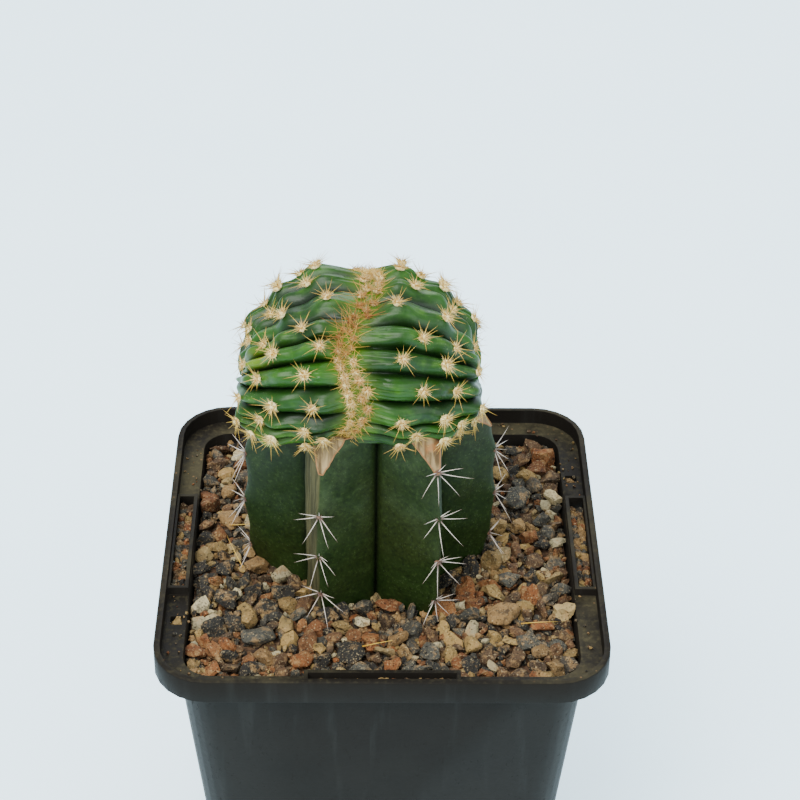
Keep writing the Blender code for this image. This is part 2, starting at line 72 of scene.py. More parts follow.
def camera_matrix():
    right = Vector((math.cos(CAMERA_TURN), -math.sin(CAMERA_TURN), 0))
    ahead = Vector((
        math.sin(CAMERA_TURN) * math.cos(CAMERA_DOWN),
        math.cos(CAMERA_TURN) * math.cos(CAMERA_DOWN),
        -math.sin(CAMERA_DOWN),
    ))
    up = right.cross(ahead)
    rolled_right = right * math.cos(CAMERA_ROLL) + up * math.sin(CAMERA_ROLL)
    rolled_up = up * math.cos(CAMERA_ROLL) - right * math.sin(CAMERA_ROLL)
    turned = Matrix((rolled_right, rolled_up, -ahead)).transposed()
    return Matrix.Translation(CAMERA_PLACE) @ turned.to_4x4()


bpy.ops.object.camera_add()
camera = bpy.context.active_object
camera.name = "camera"
camera.matrix_world = camera_matrix()
camera.data.lens = CAMERA_LENS
camera.data.sensor_width = 36.0
camera.data.clip_start = 0.02
bpy.context.scene.camera = camera
print("the camera stands", round(CAMERA_PLACE.length, 3), "m from the pot's foot")

# %% [markdown]
# ## Floor and light
#
# The pot stands on a plain pale sheet under broad, cool daylight. A large soft lamp high on the
# left gives the plant its form, a weaker one fills from the right, and the sky lifts the rest.

# %% Floor and light
FLOOR_WIDTH = 8.0


def to_linear(red, green, blue):
    """A colour as it looks on a screen, 0 to 255, as the linear numbers that a shader needs."""
    shares = (red / 255, green / 255, blue / 255)
    return (*(s / 12.92 if s <= 0.04045 else ((s + 0.055) / 1.055) ** 2.4 for s in shares), 1.0)


def soft_lamp(name, place, aim, power, width, colour):
    bpy.ops.object.light_add(type="AREA", location=place)
    lamp = bpy.context.active_object
    lamp.name = name
    lamp.rotation_euler = (Vector(aim) - Vector(place)).to_track_quat("-Z", "Y").to_euler()
    lamp.data.energy = power
    lamp.data.shape = "DISK"
    lamp.data.size = width
    lamp.data.color = colour
    return lamp


bpy.ops.mesh.primitive_plane_add(size=FLOOR_WIDTH, location=(0, 0, 0))
floor = bpy.context.active_object
floor.name = "floor"
soft_lamp("key_lamp", (-0.38, -0.45, 1.0), (0, 0, 0.09), 21.0, 0.80, (1.0, 0.99, 0.97))
soft_lamp("fill_lamp", (0.75, -0.45, 0.60), (0, 0, 0.09), 6.0, 0.80, (0.90, 0.95, 1.0))
soft_lamp("back_lamp", (0.10, 0.85, 0.75), (0, 0, 0.12), 7.0, 0.70, (0.94, 0.97, 1.0))
sky = bpy.data.worlds.new("sky")
sky.use_nodes = True
sky.node_tree.nodes["Background"].inputs["Color"].default_value = (0.82, 0.92, 1.0, 1.0)
sky.node_tree.nodes["Background"].inputs["Strength"].default_value = 1.45
bpy.context.scene.world = sky
print("three soft lamps and a pale sky")

# %% [markdown]
# ## Writing shaders as sums
#
# A finish is a tree of nodes, and most of that tree is arithmetic. Two small classes keep it
# readable. A Wire is one output socket, and sums on it add Math nodes. A Finish is one material,
# and its node method adds any other node: its settings first, then the values of its sockets.

# %% Wires and finishes


class Wire:
    """An output socket of a finish, which can be used in sums."""

    def __init__(self, finish, socket):
        self.finish = finish
        self.socket = socket

    def sum(self, operation, first, second=0.0):
        return self.finish.node("Math", {"operation": operation}, {0: first, 1: second})

    def __add__(self, other):
        return self.sum("ADD", self, other)

    def __sub__(self, other):
        return self.sum("SUBTRACT", self, other)

    def __mul__(self, other):
        return self.sum("MULTIPLY", self, other)

    def __truediv__(self, other):
        return self.sum("DIVIDE", self, other)

    def __pow__(self, other):
        return self.sum("POWER", self, other)

    def __rsub__(self, other):
        return self.sum("SUBTRACT", other, self)

    __radd__ = __add__
    __rmul__ = __mul__

    def between(self, low, high):
        """0 below low, 1 above high, and smooth in between. With low over high it falls."""
        settings = {"interpolation_type": "SMOOTHSTEP"}
        return self.finish.node("MapRange", settings, {"Value": self, 1: low, 2: high})

    def output(self, name):
        """Another output of the same node."""
        return Wire(self.finish, self.socket.node.outputs[name])


class Finish:
    """A material being built round one Principled shader."""

    def __init__(self, name, **constants):
        self.material = bpy.data.materials.new(name)
        self.material.use_nodes = True
        self.tree = self.material.node_tree
        self.shader = self.tree.nodes["Principled BSDF"]
        for socket, value in constants.items():
            self.shader.inputs[socket.replace("_", " ")].default_value = value

    def connect(self, socket, value):
        if isinstance(value, Wire):
            self.tree.links.new(value.socket, socket)
        else:
            socket.default_value = value

    def node(self, kind, settings=None, sockets=None, output=0):
        """Adds a node and gives its output. A ramp's stops are (place, colour) pairs."""
        made = self.tree.nodes.new("ShaderNode" + kind)
        for name, value in (settings or {}).items():
            if name != "stops":
                setattr(made, name, value)
                continue
            ramp = made.color_ramp
            while len(ramp.elements) < len(value):
                ramp.elements.new(0.5)
            for element, (place, colour) in zip(ramp.elements, value):
                element.position = place
                element.color = colour
        for name, value in (sockets or {}).items():
            self.connect(made.inputs[name], value)
        return Wire(self, made.outputs[output])

    def place(self):
        """Where the surface lies, in metres."""
        return self.node("TexCoord", output="Object")

    def speckle(self, where, scale, detail=4.0, roughness=0.55, distortion=0.0):
        sockets = {
            "Vector": where,
            "Scale": scale,
            "Detail": detail,
            "Roughness": roughness,
            "Distortion": distortion,
        }
        return self.node("TexNoise", None, sockets)

    def cells(self, where, scale, feature="F1"):
        return self.node("TexVoronoi", {"feature": feature}, {"Vector": where, "Scale": scale})

    def measure(self, name, output="Fac"):
        """A number or colour that the piece's own mesh carries."""
        return self.node("Attribute", {"attribute_name": name}, output=output)

    def mix(self, share, under, over, how="MIX"):
        settings = {"data_type": "RGBA", "blend_type": how}
        return self.node("Mix", settings, {0: share, 6: under, 7: over}, output=2)

    def stretch(self, where, scale):
        """The same place with each axis scaled, which draws a pattern out into streaks."""
        return self.node("Mapping", None, {"Vector": where, "Scale": scale})

    def set(self, name, value):
        self.connect(self.shader.inputs[name], value)

    def bump(self, height, depth, strength=1.0):
        """Small relief. depth is how many metres a height of 1 stands for."""
        sockets = {"Height": height, "Distance": depth, "Strength": strength}
        self.set("Normal", self.node("Bump", None, sockets))


print("finishes can be written as sums")

# %% [markdown]
# ## The floor's finish
#
# Plain paper: nearly white, a little cool, with the faintest unevenness.

# %% Paper finish
paper = Finish("pale_paper", Roughness=0.85, Emission_Strength=0.95)
mottle = paper.speckle(paper.place(), 14.0, detail=5.0)
paper.set("Base Color", paper.mix(mottle, to_linear(216, 238, 248), to_linear(226, 244, 252)))
paper.set("Emission Color", paper.mix(mottle, to_linear(196, 236, 252), to_linear(206, 240, 254)))
floor.data.materials.append(paper.material)
print("the floor is", FLOOR_WIDTH, "m wide")

# %% [markdown]
# ## Taking a CAD node's shape
#
# Where the CAD already has the right form, the fine piece starts as a copy of it. The packed
# mesh is loose triangles, so the copy's doubles are merged and its flat triangles paired. Only
# the real edges then have an angle, which is how a bevel finds them.

# %% Copy a node


def alone(piece):
    """Selects only this piece and makes it active."""
    bpy.ops.object.select_all(action="DESELECT")
    piece.select_set(True)
    bpy.context.view_layer.objects.active = piece


def edit(piece):
    """Opens the piece in edit mode with all of it selected."""
    alone(piece)
    bpy.ops.object.mode_set(mode="EDIT")
    bpy.ops.mesh.select_all(action="SELECT")


def close_edit():
    bpy.ops.object.mode_set(mode="OBJECT")


def choose(piece, kind, wanted):
    """Selects only the faces or edges for which wanted is true, and leaves the piece in edit mode."""
    edit(piece)
    bpy.ops.mesh.select_all(action="DESELECT")
    bpy.ops.mesh.select_mode(type=kind)
    close_edit()
    for item in piece.data.polygons if kind == "FACE" else piece.data.edges:
        item.select = wanted(item)
    bpy.ops.object.mode_set(mode="EDIT")


def cut_into_rings(piece, rings, least):
    """Cuts the edges that rise by more than this into equal lengths, all the way round."""
    heights = [point.co.z for point in piece.data.vertices]
    choose(piece, "EDGE", lambda edge: abs(heights[edge.vertices[0]] - heights[edge.vertices[1]]) > least)
    bpy.ops.mesh.subdivide(number_cuts=rings)
    close_edit()


def copy_of_node(node, name):
    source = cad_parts[node]
    piece = bpy.data.objects.new(name, source.data.copy())
    bpy.context.scene.collection.objects.link(piece)
    piece.data.materials.clear()
    edit(piece)
    bpy.ops.mesh.remove_doubles(threshold=0.002 * MM)
    bpy.ops.mesh.tris_convert_to_quads(face_threshold=math.radians(0.5), shape_threshold=math.radians(170))
    close_edit()
    return piece


def apply_modifier(piece, kind, **settings):
    alone(piece)
    modifier = piece.modifiers.new(kind.lower(), kind)
    for name, value in settings.items():
        setattr(modifier, name, value)
    bpy.ops.object.modifier_apply(modifier=modifier.name)


def hand_in(piece, slot, *nodes):
    """Makes a finished piece part of the object, in place of its CAD nodes."""
    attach(piece, "root")
    if nodes:
        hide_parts(*nodes)


def smooth_under(piece, degrees):
    alone(piece)
    bpy.ops.object.shade_smooth_by_angle(angle=math.radians(degrees))


print("copies start from", len(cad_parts["pot"].data.vertices), "loose corners on the pot")

# %% [markdown]
# ## The pot
#
# A moulded pot has no sharp edge anywhere: the plastic shrinks round every corner as it cools. A
# bevel of two or three tenths of a millimetre gives each edge the thin line of light that the
# eye reads as plastic.

# %% The pot's shape
POT_EDGE = 0.28 * MM

pot = copy_of_node("pot", "nursery_pot")
apply_modifier(
    pot, "BEVEL", width=POT_EDGE, segments=2, limit_method="ANGLE",
    angle_limit=math.radians(38), use_clamp_overlap=True, harden_normals=False,
)
smooth_under(pot, 34)
hand_in(pot, "pot_plastic", "pot")
_, pot_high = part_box("pot")
print("the pot has", len(pot.data.polygons), "faces")

# %% [markdown]
# ## The pot's finish
#
# Black polypropylene is really a dark grey with a dull sheen. Handling leaves it finely
# scratched. Dust and dried splashes settle on what faces up, so they are laid on by the
# surface's own direction, and hard water leaves faint paler streaks on the sides.

# %% Pot finish
black_plastic = Finish("black_plastic", Roughness=0.5, Specular_IOR_Level=0.04)
where = black_plastic.place()
facing_up = black_plastic.node("SeparateXYZ", None, {
    0: black_plastic.node("NewGeometry", output="Normal")
}, output="Z")
height = black_plastic.node("SeparateXYZ", None, {0: where}, output="Z")
cloud = black_plastic.speckle(where, 55.0, detail=6.0, roughness=0.65)
fine = black_plastic.speckle(where, 900.0, detail=3.0)
settled = facing_up.between(0.35, 0.95)
dust_patches = cloud.between(0.42, 0.66) * 0.75 + fine.between(0.48, 0.70) * 0.35
dust = settled * dust_patches
inside = height.between(pot_high.z - 4.4 * MM, pot_high.z - 2.0 * MM)
dust = dust * (1.0 - inside * 0.55)
streaks = black_plastic.speckle(black_plastic.stretch(where, (260.0, 260.0, 18.0)), 1.0, detail=4.0)
bloom = streaks.between(0.56, 0.80) * (1.0 - settled) * 0.035
plastic = black_plastic.mix(cloud, to_linear(20, 18, 15), to_linear(30, 27, 23))
plastic = black_plastic.mix(bloom, plastic, to_linear(112, 116, 112))
plastic = black_plastic.mix(dust * 0.72, plastic, to_linear(84, 78, 56))
crumbs = black_plastic.cells(where, 620.0)
crumb_mask = crumbs.between(0.20, 0.05) * settled * cloud.between(0.50, 0.62)
plastic = black_plastic.mix(crumb_mask * 0.7, plastic, to_linear(120, 92, 62))
black_plastic.set("Base Color", plastic)
scratch = black_plastic.speckle(
    black_plastic.stretch(where, (1900.0, 140.0, 700.0)), 1.0, detail=2.0, distortion=0.6
)
black_plastic.set("Roughness", 0.44 + dust * 0.40 + fine * 0.10 + scratch.between(0.62, 0.72) * 0.12)
black_plastic.bump(fine * 0.5 + scratch.between(0.60, 0.70) * 0.3 + dust * 0.9, 0.035 * MM)
pot.data.materials.append(black_plastic.material)
print("the pot's finish has", len(black_plastic.tree.nodes), "nodes")

# %% [markdown]
# ## The stem's form
#
# Seen from above the stem is a six-pointed star: flat faces that meet at a rounded rib and sink
# into a crease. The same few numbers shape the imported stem, so they are repeated here, and the
# fine stem fits inside it to the hair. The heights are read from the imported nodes.

# %% The stem's outline
rootstock_low, rootstock_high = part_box("rootstock")
_, substrate_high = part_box("substrate")
STEM_AXIS = Vector((-1.8, 1.5)) * MM
GRAFT_HEIGHT = rootstock_high.z
STEM_HEIGHT = 42.9 * MM
SOIL_LINE = GRAFT_HEIGHT - STEM_HEIGHT
STEM_FOOT = rootstock_low.z
STEM_WAIST = 0.93
RIB_ANGLES = np.radians((-2.0, 60.0, 120.0, 187.0, 243.3, 300.7))
RIB_REACH = np.array((24.6, 24.0, 24.4, 26.2, 23.9, 25.0)) * MM
VALLEY_REACH = np.array((15.2, 15.0, 15.6, 17.0, 14.9, 15.2)) * MM
RIB_ROUNDING = 0.06
RIB_PUFF = 0.5 * MM
CREASE_DEPTH = 0.8 * MM
TRIM_INNER = np.array((15.0, 15.0, 15.0, 15.0, 19.0, 19.0)) * MM
TRIM_SLOPES = (1.1, 0.7, 0.65, 0.6, 1.8, 1.15)
RIB_NAMES = ("right", "back_right", "back_left", "left", "front_left", "front_right")
AREOLE_RUNS = np.array(
    ((5.4, 11.0, 3), (4.8, 10.6, 3), (5.2, 10.4, 3), (4.4, 11.8, 3), (6.1, 10.0, 3), (4.2, 10.8, 4))
)


def stem_swell(height):
    share = np.clip((height - SOIL_LINE) / STEM_HEIGHT, 0.0, 1.0)
    return STEM_WAIST + (1 - STEM_WAIST) * np.sin(np.pi * share**0.75)


def rib_and_valley(angle):
    """For each angle: its nearest rib, the valley on that side, and the share of the way there."""
    turn = (np.asarray(angle)[..., None] - RIB_ANGLES + np.pi) % (2 * np.pi) - np.pi
    gaps = (np.roll(RIB_ANGLES, -1) - RIB_ANGLES) % (2 * np.pi)
    after = turn / gaps
    before = -turn / np.roll(gaps, 1)
    share = np.where(turn >= 0, after, before) * 2
    rib = np.argmin(np.where(share <= 1.0, share, 9.0), axis=-1)
    chosen = np.take_along_axis(turn, rib[..., None], -1)[..., 0]
    valley = np.where(chosen >= 0, rib, (rib - 1) % 6)
    share = np.take_along_axis(share, rib[..., None], -1)[..., 0]
    return rib, valley, np.clip(share, 0.0, 1.0), gaps[valley] / 2


def stem_radius(angle, height):
    rib, valley, share, half = rib_and_valley(angle)
    reach = RIB_REACH[rib] * stem_swell(height)
    floor_reach = VALLEY_REACH[valley]
    eased = (np.hypot(share, RIB_ROUNDING) - RIB_ROUNDING) / (
        math.hypot(1.0, RIB_ROUNDING) - RIB_ROUNDING
    )
    turn = eased * half
    flat = reach * floor_reach * np.sin(half) / (
        reach * np.sin(turn) + floor_reach * np.sin(half - turn)
    )
    crease = CREASE_DEPTH * np.exp(-(((1 - share) / 0.07) ** 2))
    return flat + RIB_PUFF * np.sin(np.pi * share) - crease


def areole_heights(rib):
    first, spacing, count = AREOLE_RUNS[rib]
    return [SOIL_LINE + (first + spacing * number) * MM for number in range(int(count))]


print("the stem stands", round((GRAFT_HEIGHT - SOIL_LINE) / MM, 1), "mm out of the grit")

# %% [markdown]
# ## Rough ground for moved points
#
# Living skin and broken stone are uneven at several sizes at once. This helper adds smooth
# noise to a list of points, so a surface can be moved by it, and not only look bumpy.

# %% Noise on points


def unevenness(points, scale, seed=0.0):
    """Smooth noise from -1 to 1 at each point. scale is in waves per metre."""
    shift = Vector((seed, seed * 1.7, seed * 0.3))
    return np.array([noise.noise(Vector(p) * scale + shift) for p in points])


def points_of(piece):
    flat = np.empty(len(piece.data.vertices) * 3)
    piece.data.vertices.foreach_get("co", flat)
    return flat.reshape(-1, 3)


def move_points(piece, points):
    piece.data.vertices.foreach_set("co", np.asarray(points, np.float32).ravel())
    piece.data.update()


def give_measure(piece, name, values):
    """Stores a number at every point of a mesh, for its finish to read."""
    made = piece.data.attributes.new(name, "FLOAT", "POINT")
    made.data.foreach_set("value", np.asarray(values, np.float32))


print("points can be moved by noise")

# %% [markdown]
# ## The rootstock
#
# It starts as a cylinder with its sides cut into many rings. Every point then moves out to the
# star's radius for its own angle and height. The grower's knife took the graft face and the
# shoulder of each rib, and bisecting with a filled cut does the same.

# %% The rootstock's shape
STEM_COLUMNS = 336
STEM_RINGS = 130

bpy.ops.object.select_all(action="DESELECT")
bpy.ops.mesh.primitive_cylinder_add(vertices=STEM_COLUMNS, radius=1.0, depth=2.0, location=(0, 0, 0))
rootstock = bpy.context.active_object
rootstock.name = "rootstock_column"
cut_into_rings(rootstock, STEM_RINGS, 1.0)
unit = points_of(rootstock)
stem_angle = np.arctan2(unit[:, 1], unit[:, 0])
stem_top = GRAFT_HEIGHT + 3 * MM
stem_height = STEM_FOOT + (stem_top - STEM_FOOT) * (unit[:, 2] + 1) / 2
stem_reach = stem_radius(stem_angle, stem_height)
rib, valley, share, half = rib_and_valley(stem_angle)
for number in range(6):
    for height_of_areole in areole_heights(number):
        nearness = np.exp(-(((stem_height - height_of_areole) / (2.6 * MM)) ** 2))
        stem_reach += np.where(rib == number, 0.55 * MM * nearness * np.exp(-((share / 0.16) ** 2)), 0)
stem_points = np.stack([
    STEM_AXIS.x + stem_reach * np.cos(stem_angle),
    STEM_AXIS.y + stem_reach * np.sin(stem_angle),
    stem_height,
], axis=-1)
outward = np.stack([np.cos(stem_angle), np.sin(stem_angle), np.zeros_like(stem_angle)], axis=-1)
wobble = unevenness(stem_points, 130.0, 3.0) * 0.42 + unevenness(stem_points, 420.0, 8.0) * 0.12
move_points(rootstock, stem_points + outward * wobble[:, None] * MM)
give_measure(rootstock, "toward_valley", share)
give_measure(rootstock, "which_rib", rib + np.where(valley == rib, 0.0, 0.5))


def knife(piece, point, normal):
    """Cuts off all that lies beyond a plane, and closes the cut."""
    edit(piece)
    bpy.ops.mesh.bisect(
        plane_co=point, plane_no=normal, use_fill=True, clear_outer=True, clear_inner=False
    )
    close_edit()


def trim_plane(number):
    """The knife's cut over one rib: a point on it, and its direction."""
    angle = RIB_ANGLES[number]
    across = Vector((math.cos(angle), math.sin(angle), 0))
    start = Vector((*STEM_AXIS, GRAFT_HEIGHT)) + across * TRIM_INNER[number]
    return start, (across * TRIM_SLOPES[number] + Vector((0, 0, 1))).normalized()


knife(rootstock, (*STEM_AXIS, GRAFT_HEIGHT), (0, 0, 1))
for number in range(6):
    knife(rootstock, *trim_plane(number))
print("the rootstock has", len(rootstock.data.polygons), "faces")

# %% [markdown]
# ## The healed edge of the cuts
#
# Where skin heals round a cut it rolls up into a thin orange lip. The edge of the cut faces
# already has the right line, so it is copied off the stem, made a curve, and thickened.

# %% The callus lip
LIP_RADIUS = 0.15 * MM


def is_cut(face):
    return len(face.vertices) > 8 and face.normal.z > 0.4


alone(rootstock)
bpy.ops.object.duplicate()
callus = bpy.context.active_object
callus.name = "callus_lip"
choose(callus, "FACE", lambda face: not is_cut(face))
bpy.ops.mesh.delete(type="FACE")
bpy.ops.mesh.select_all(action="SELECT")
bpy.ops.mesh.region_to_loop()
bpy.ops.mesh.select_all(action="INVERT")
bpy.ops.mesh.delete(type="EDGE_FACE")
bpy.ops.mesh.select_all(action="SELECT")
bpy.ops.mesh.remove_doubles(threshold=0.12 * MM)
close_edit()
print("the lip runs along", len(callus.data.edges), "edges")
alone(callus)
bpy.ops.object.convert(target="CURVE")
callus.data.bevel_depth = LIP_RADIUS
callus.data.bevel_resolution = 1
bpy.ops.object.convert(target="MESH")
print("the lip has", len(callus.data.polygons), "faces")

# %% [markdown]
# ## The rootstock's finish
#
# The skin is a dull dark green, peppered with tiny pale dots, and cloudy with a waxy bloom towards
# the top. Painted shade darkens it into each crease, and a faint painted highlight runs along each
# rib's edge. Age has turned part of one rib to cork: a grey-brown band with fine upright cracks. The
# knife's cuts have dried to tan fibres that run outward, with an orange edge where the skin rolled
# over them.

# %% Rootstock finish
green_skin = Finish("rootstock_skin", Roughness=0.5, Specular_IOR_Level=0.13)
where = green_skin.place()
deep = green_skin.measure("toward_valley")
side = green_skin.measure("which_rib")
height = green_skin.node("SeparateXYZ", None, {0: where}, output="Z")
cloud = green_skin.speckle(where, 70.0, detail=5.0, roughness=0.6)
patches = green_skin.speckle(where, 190.0, detail=5.0, roughness=0.6)
pepper = green_skin.cells(where, 1500.0)
dots = pepper.between(0.30, 0.12) * patches.between(0.40, 0.62)
skin = green_skin.mix(cloud, to_linear(15, 27, 7), to_linear(28, 44, 13))
skin = green_skin.mix(patches.between(0.45, 0.75) * 0.45, skin, to_linear(38, 56, 20))
skin = green_skin.mix(dots * 0.20, skin, to_linear(84, 100, 62))
upper = height.between(GRAFT_HEIGHT - 26 * MM, GRAFT_HEIGHT - 4 * MM)
olive = green_skin.speckle(where, 48.0, detail=3.0, roughness=0.5)
skin = green_skin.mix(olive.between(0.46, 0.66) * 0.5, skin, to_linear(34, 37, 11))
mealy = green_skin.speckle(where, 1300.0, detail=3.0)
skin = green_skin.mix(mealy.between(0.54, 0.70) * 0.35, skin, to_linear(50, 66, 28))
skin = green_skin.mix(mealy.between(0.46, 0.34) * 0.5, skin, to_linear(10, 19, 5))
waxy = upper * cloud.between(0.46, 0.68) * patches.between(0.38, 0.60)
skin = green_skin.mix(waxy * 0.30, skin, to_linear(86, 100, 72))
# Painted shade: the skin darkens towards the bottom of each crease.
skin = green_skin.mix(deep.between(0.90, 1.0) * 0.8, skin, to_linear(8, 13, 6))
# Painted highlight: a faint paler line along each rib's edge.
skin = green_skin.mix(deep.between(0.10, 0.0) * 0.15, skin, to_linear(46, 60, 26))
cork_streak = green_skin.speckle(green_skin.stretch(where, (900.0, 900.0, 60.0)), 1.0, detail=5.0)
cork_edge = green_skin.speckle(green_skin.stretch(where, (160.0, 160.0, 60.0)), 1.0, detail=3.0) * 0.16
on_rib = side.between(4.40, 4.48) * side.between(4.60, 4.52)
cork = on_rib * (deep + cork_edge).between(0.98, 0.76) * (deep + cork_edge).between(0.07, 0.13)
cork_colour = green_skin.mix(cork_streak.between(0.30, 0.70), to_linear(40, 38, 21), to_linear(86, 80, 52))
skin = green_skin.mix(cork * 0.85, skin, cork_colour)
green_skin.set("Base Color", skin)
green_skin.set("Roughness", 0.46 + cork * 0.35 + waxy * 0.16 + patches * 0.10)
green_skin.bump(patches * 0.5 + dots * 0.5 + cork * cork_streak * 1.6, 0.09 * MM)

dried_cut = Finish("dried_cut", Roughness=0.85, Specular_IOR_Level=0.25)
where = dried_cut.place()
fibres = dried_cut.speckle(dried_cut.stretch(where, (700.0, 160.0, 160.0)), 1.0, detail=6.0, distortion=0.5)
stain = dried_cut.speckle(where, 260.0, detail=4.0)
cut_colour = dried_cut.mix(fibres.between(0.35, 0.65), to_linear(78, 60, 36), to_linear(146, 124, 86))
cut_colour = dried_cut.mix(stain.between(0.55, 0.72) * 0.55, cut_colour, to_linear(158, 98, 48))
dried_cut.set("Base Color", cut_colour)
dried_cut.bump(fibres, 0.16 * MM)

cut_lip = Finish("cut_lip", Roughness=0.75)
lip_tone = cut_lip.speckle(cut_lip.place(), 900.0, detail=3.0)
cut_lip.set("Base Color", cut_lip.mix(lip_tone, to_linear(104, 66, 30), to_linear(146, 104, 58)))
cut_lip.bump(lip_tone, 0.06 * MM)

rootstock.data.materials.clear()
for finish in (green_skin, dried_cut):
    rootstock.data.materials.append(finish.material)
for face in rootstock.data.polygons:
    face.material_index = 1 if is_cut(face) else 0
smooth_under(rootstock, 32)
hand_in(rootstock, "rootstock_skin", "rootstock")
callus.data.materials.clear()
callus.data.materials.append(cut_lip.material)
smooth_under(callus, 60)
hand_in(callus, "rootstock_skin")
print("the rootstock carries", len(rootstock.data.materials), "finishes")

# %% [markdown]
# ## The crested body
#
# The scion is a ball that has been drawn out sideways, with its growing line running from front
# to back over the top. Two angles name any point on it: how far round, from the front over the
# top, and how far across, from the growing line to the left or right. Ribs run across, the
# growing line is a groove, and the ribs end in fat knobs. A sphere's own angles are the same two,
# so it starts as a sphere and every point moves to its place.

# %% The crest's form
CREST_CENTRE = Vector((*(STEM_AXIS + Vector((-3.0, 0.1)) * MM), GRAFT_HEIGHT + 5.1 * MM))
CREST_HALF_WIDTH = 23.4 * MM
CREST_HALF_DEPTH = 20.0 * MM
CREST_RISE = 17.4 * MM
CREST_DROP = 10.8 * MM
CREST_BOXINESS = 0.84
CREST_DROOP = 3.4 * MM
CREST_GROOVE = 1.5 * MM
CREST_GROOVE_SPREAD = 7.0
CREST_LINE_BAND = 11.0  # degrees from the line to where the ribs have their full height
CREST_RIBS = 22
CREST_RIB_DEPTH = 2.4 * MM
# Degrees round, degrees across, height in mm, spread in degrees.
CREST_LOBES = (
    (-34, -44, 2.6, 15), (-8, -66, 1.8, 11), (52, -58, 1.2, 12), (86, -48, -2.4, 22),
    (20, 62, 1.4, 14), (-22, 50, 1.2, 13), (150, 55, 1.6, 14), (170, -50, 1.8, 15),
    (82, -15, -1.9, 20), (78, 26, 0.7, 14),
)


def signed_power(value, power):
    return np.sign(value) * np.abs(value) ** power


def crest_body(around, across):
    x = signed_power(np.sin(across), CREST_BOXINESS)
    wheel = signed_power(np.cos(across), CREST_BOXINESS)
    front = signed_power(np.cos(around), CREST_BOXINESS)
    up = signed_power(np.sin(around), CREST_BOXINESS)
    rise = np.where(up > 0, CREST_RISE, CREST_DROP)
    return np.stack([
        CREST_CENTRE.x + CREST_HALF_WIDTH * x,
        CREST_CENTRE.y - CREST_HALF_DEPTH * wheel * front,
        CREST_CENTRE.z + rise * wheel * up - CREST_DROOP * x**2,
    ], axis=-1)


def crest_living(around):
    """1 along the growing line and 0 on the underside, where the scion was cut."""
    return np.clip((np.sin(around) + 0.75) / 0.35, 0, 1)


def crest_line(around):
    """Degrees across at which the growing line lies: it sways, and leans right over the top."""
    over_top = np.clip(np.sin(around - math.radians(40)), 0, 1)
    return 3.0 * np.sin(4 * around + 1.0) - 3.0 + 5.0 * over_top


def rib_phase(around, across):
    """Whole numbers on the tops of the ribs. The two sides are half a rib out of step."""
    uneven = 0.10 * np.sin(3 * around + 0.6) + 0.05 * np.sin(5 * around + 2.0)
    side = np.where(np.degrees(across) > crest_line(around), 0.5, 0.0)
    return CREST_RIBS * (around + uneven) / (2 * np.pi) + side


def bell(degrees, spread):
    return np.exp(-((degrees / spread) ** 2))


def crest_relief(around, across):
    """(height, share of the way from a rib's top into its crease)."""
    degrees = np.degrees(across)
    wide = np.abs(degrees)
    from_line = degrees - crest_line(around)
    living = crest_living(around)
    wave = np.abs(np.cos(np.pi * rib_phase(around, across)))
    flank = np.clip(np.abs(from_line) / CREST_LINE_BAND, 0, 1) ** 0.6 * np.clip((90 - wide) / 20, 0, 1)
    height = CREST_RIB_DEPTH * 1.12 * (wave**0.62 - 0.66) * flank * (0.3 + 0.7 * living)
    knobs = np.cos(np.radians((wide - 38) * 360 / 22 + 30 * np.sin(around * 5))) * 0.55 * MM * wave * flank
    knobs += np.sin(around * 6.5 + np.sign(degrees)) * np.clip((wide - 40) / 20, 0, 1) * 0.5 * MM
    height += knobs * living - CREST_GROOVE * living * bell(from_line, CREST_GROOVE_SPREAD)
    for lobe_around, lobe_across, lobe_height, spread in CREST_LOBES:
        turn = (np.degrees(around) - lobe_around + 180) % 360 - 180
        height += lobe_height * MM * bell(np.hypot(turn * np.cos(across), degrees - lobe_across), spread)
    return height, (1 - wave) * flank


def crest_surface(around, across):
    """(points, outward directions, crease shares) of the ribbed body."""
    around, across = np.asarray(around, float), np.asarray(across, float)
    step = 1e-3
    points = crest_body(around, across)
    by_around = crest_body(around + step, across) - crest_body(around - step, across)
    by_across = crest_body(around, across + step) - crest_body(around, across - step)
    normals = np.cross(by_around, by_across)
    normals /= np.maximum(np.linalg.norm(normals, axis=-1, keepdims=True), 1e-12)
    side = np.sign(np.sum(normals * (points - np.array(CREST_CENTRE)), axis=-1, keepdims=True))
    normals *= np.where(side == 0, 1, side)
    height, crease = crest_relief(around, across)
    return points + normals * height[..., None], normals, crease


print("the crest has", CREST_RIBS, "ribs round it")

# %% The crest's shape
CREST_SEGMENTS = 430
CREST_RINGS = 214

bpy.ops.object.select_all(action="DESELECT")
bpy.ops.mesh.primitive_uv_sphere_add(
    segments=CREST_SEGMENTS, ring_count=CREST_RINGS, radius=1.0, location=(0, 0, 0)
)
crest = bpy.context.active_object
crest.name = "crested_body"
unit = points_of(crest)
crest_across = np.clip(np.arcsin(np.clip(unit[:, 2], -1, 1)), *np.radians((-89.5, 89.5)))
crest_around = np.arctan2(unit[:, 1], unit[:, 0])
crest_points, crest_out, crest_crease = crest_surface(crest_around, crest_across)
soft = unevenness(crest_points, 110.0, 5.0) * 0.42 + unevenness(crest_points, 330.0, 2.0) * 0.12
across_wrinkle = unevenness(
    np.stack([crest_across * 4, crest_around * 48, crest_around * 0], axis=-1), 1.0, 9.0
)
from_line = np.degrees(crest_across) - crest_line(crest_around)
soft += across_wrinkle * 0.42 * bell(from_line, 30)
crest_points += crest_out * soft[:, None] * MM


def seat_height(points):
    """How high the stem's cut top is under each point."""
    heights = np.full(len(points), GRAFT_HEIGHT)
    for number in range(6):
        start, normal = trim_plane(number)
        offset = (points[:, :2] - np.array(start)[:2]) @ np.array(normal)[:2]
        heights = np.minimum(heights, start.z - offset / normal.z)
    return heights


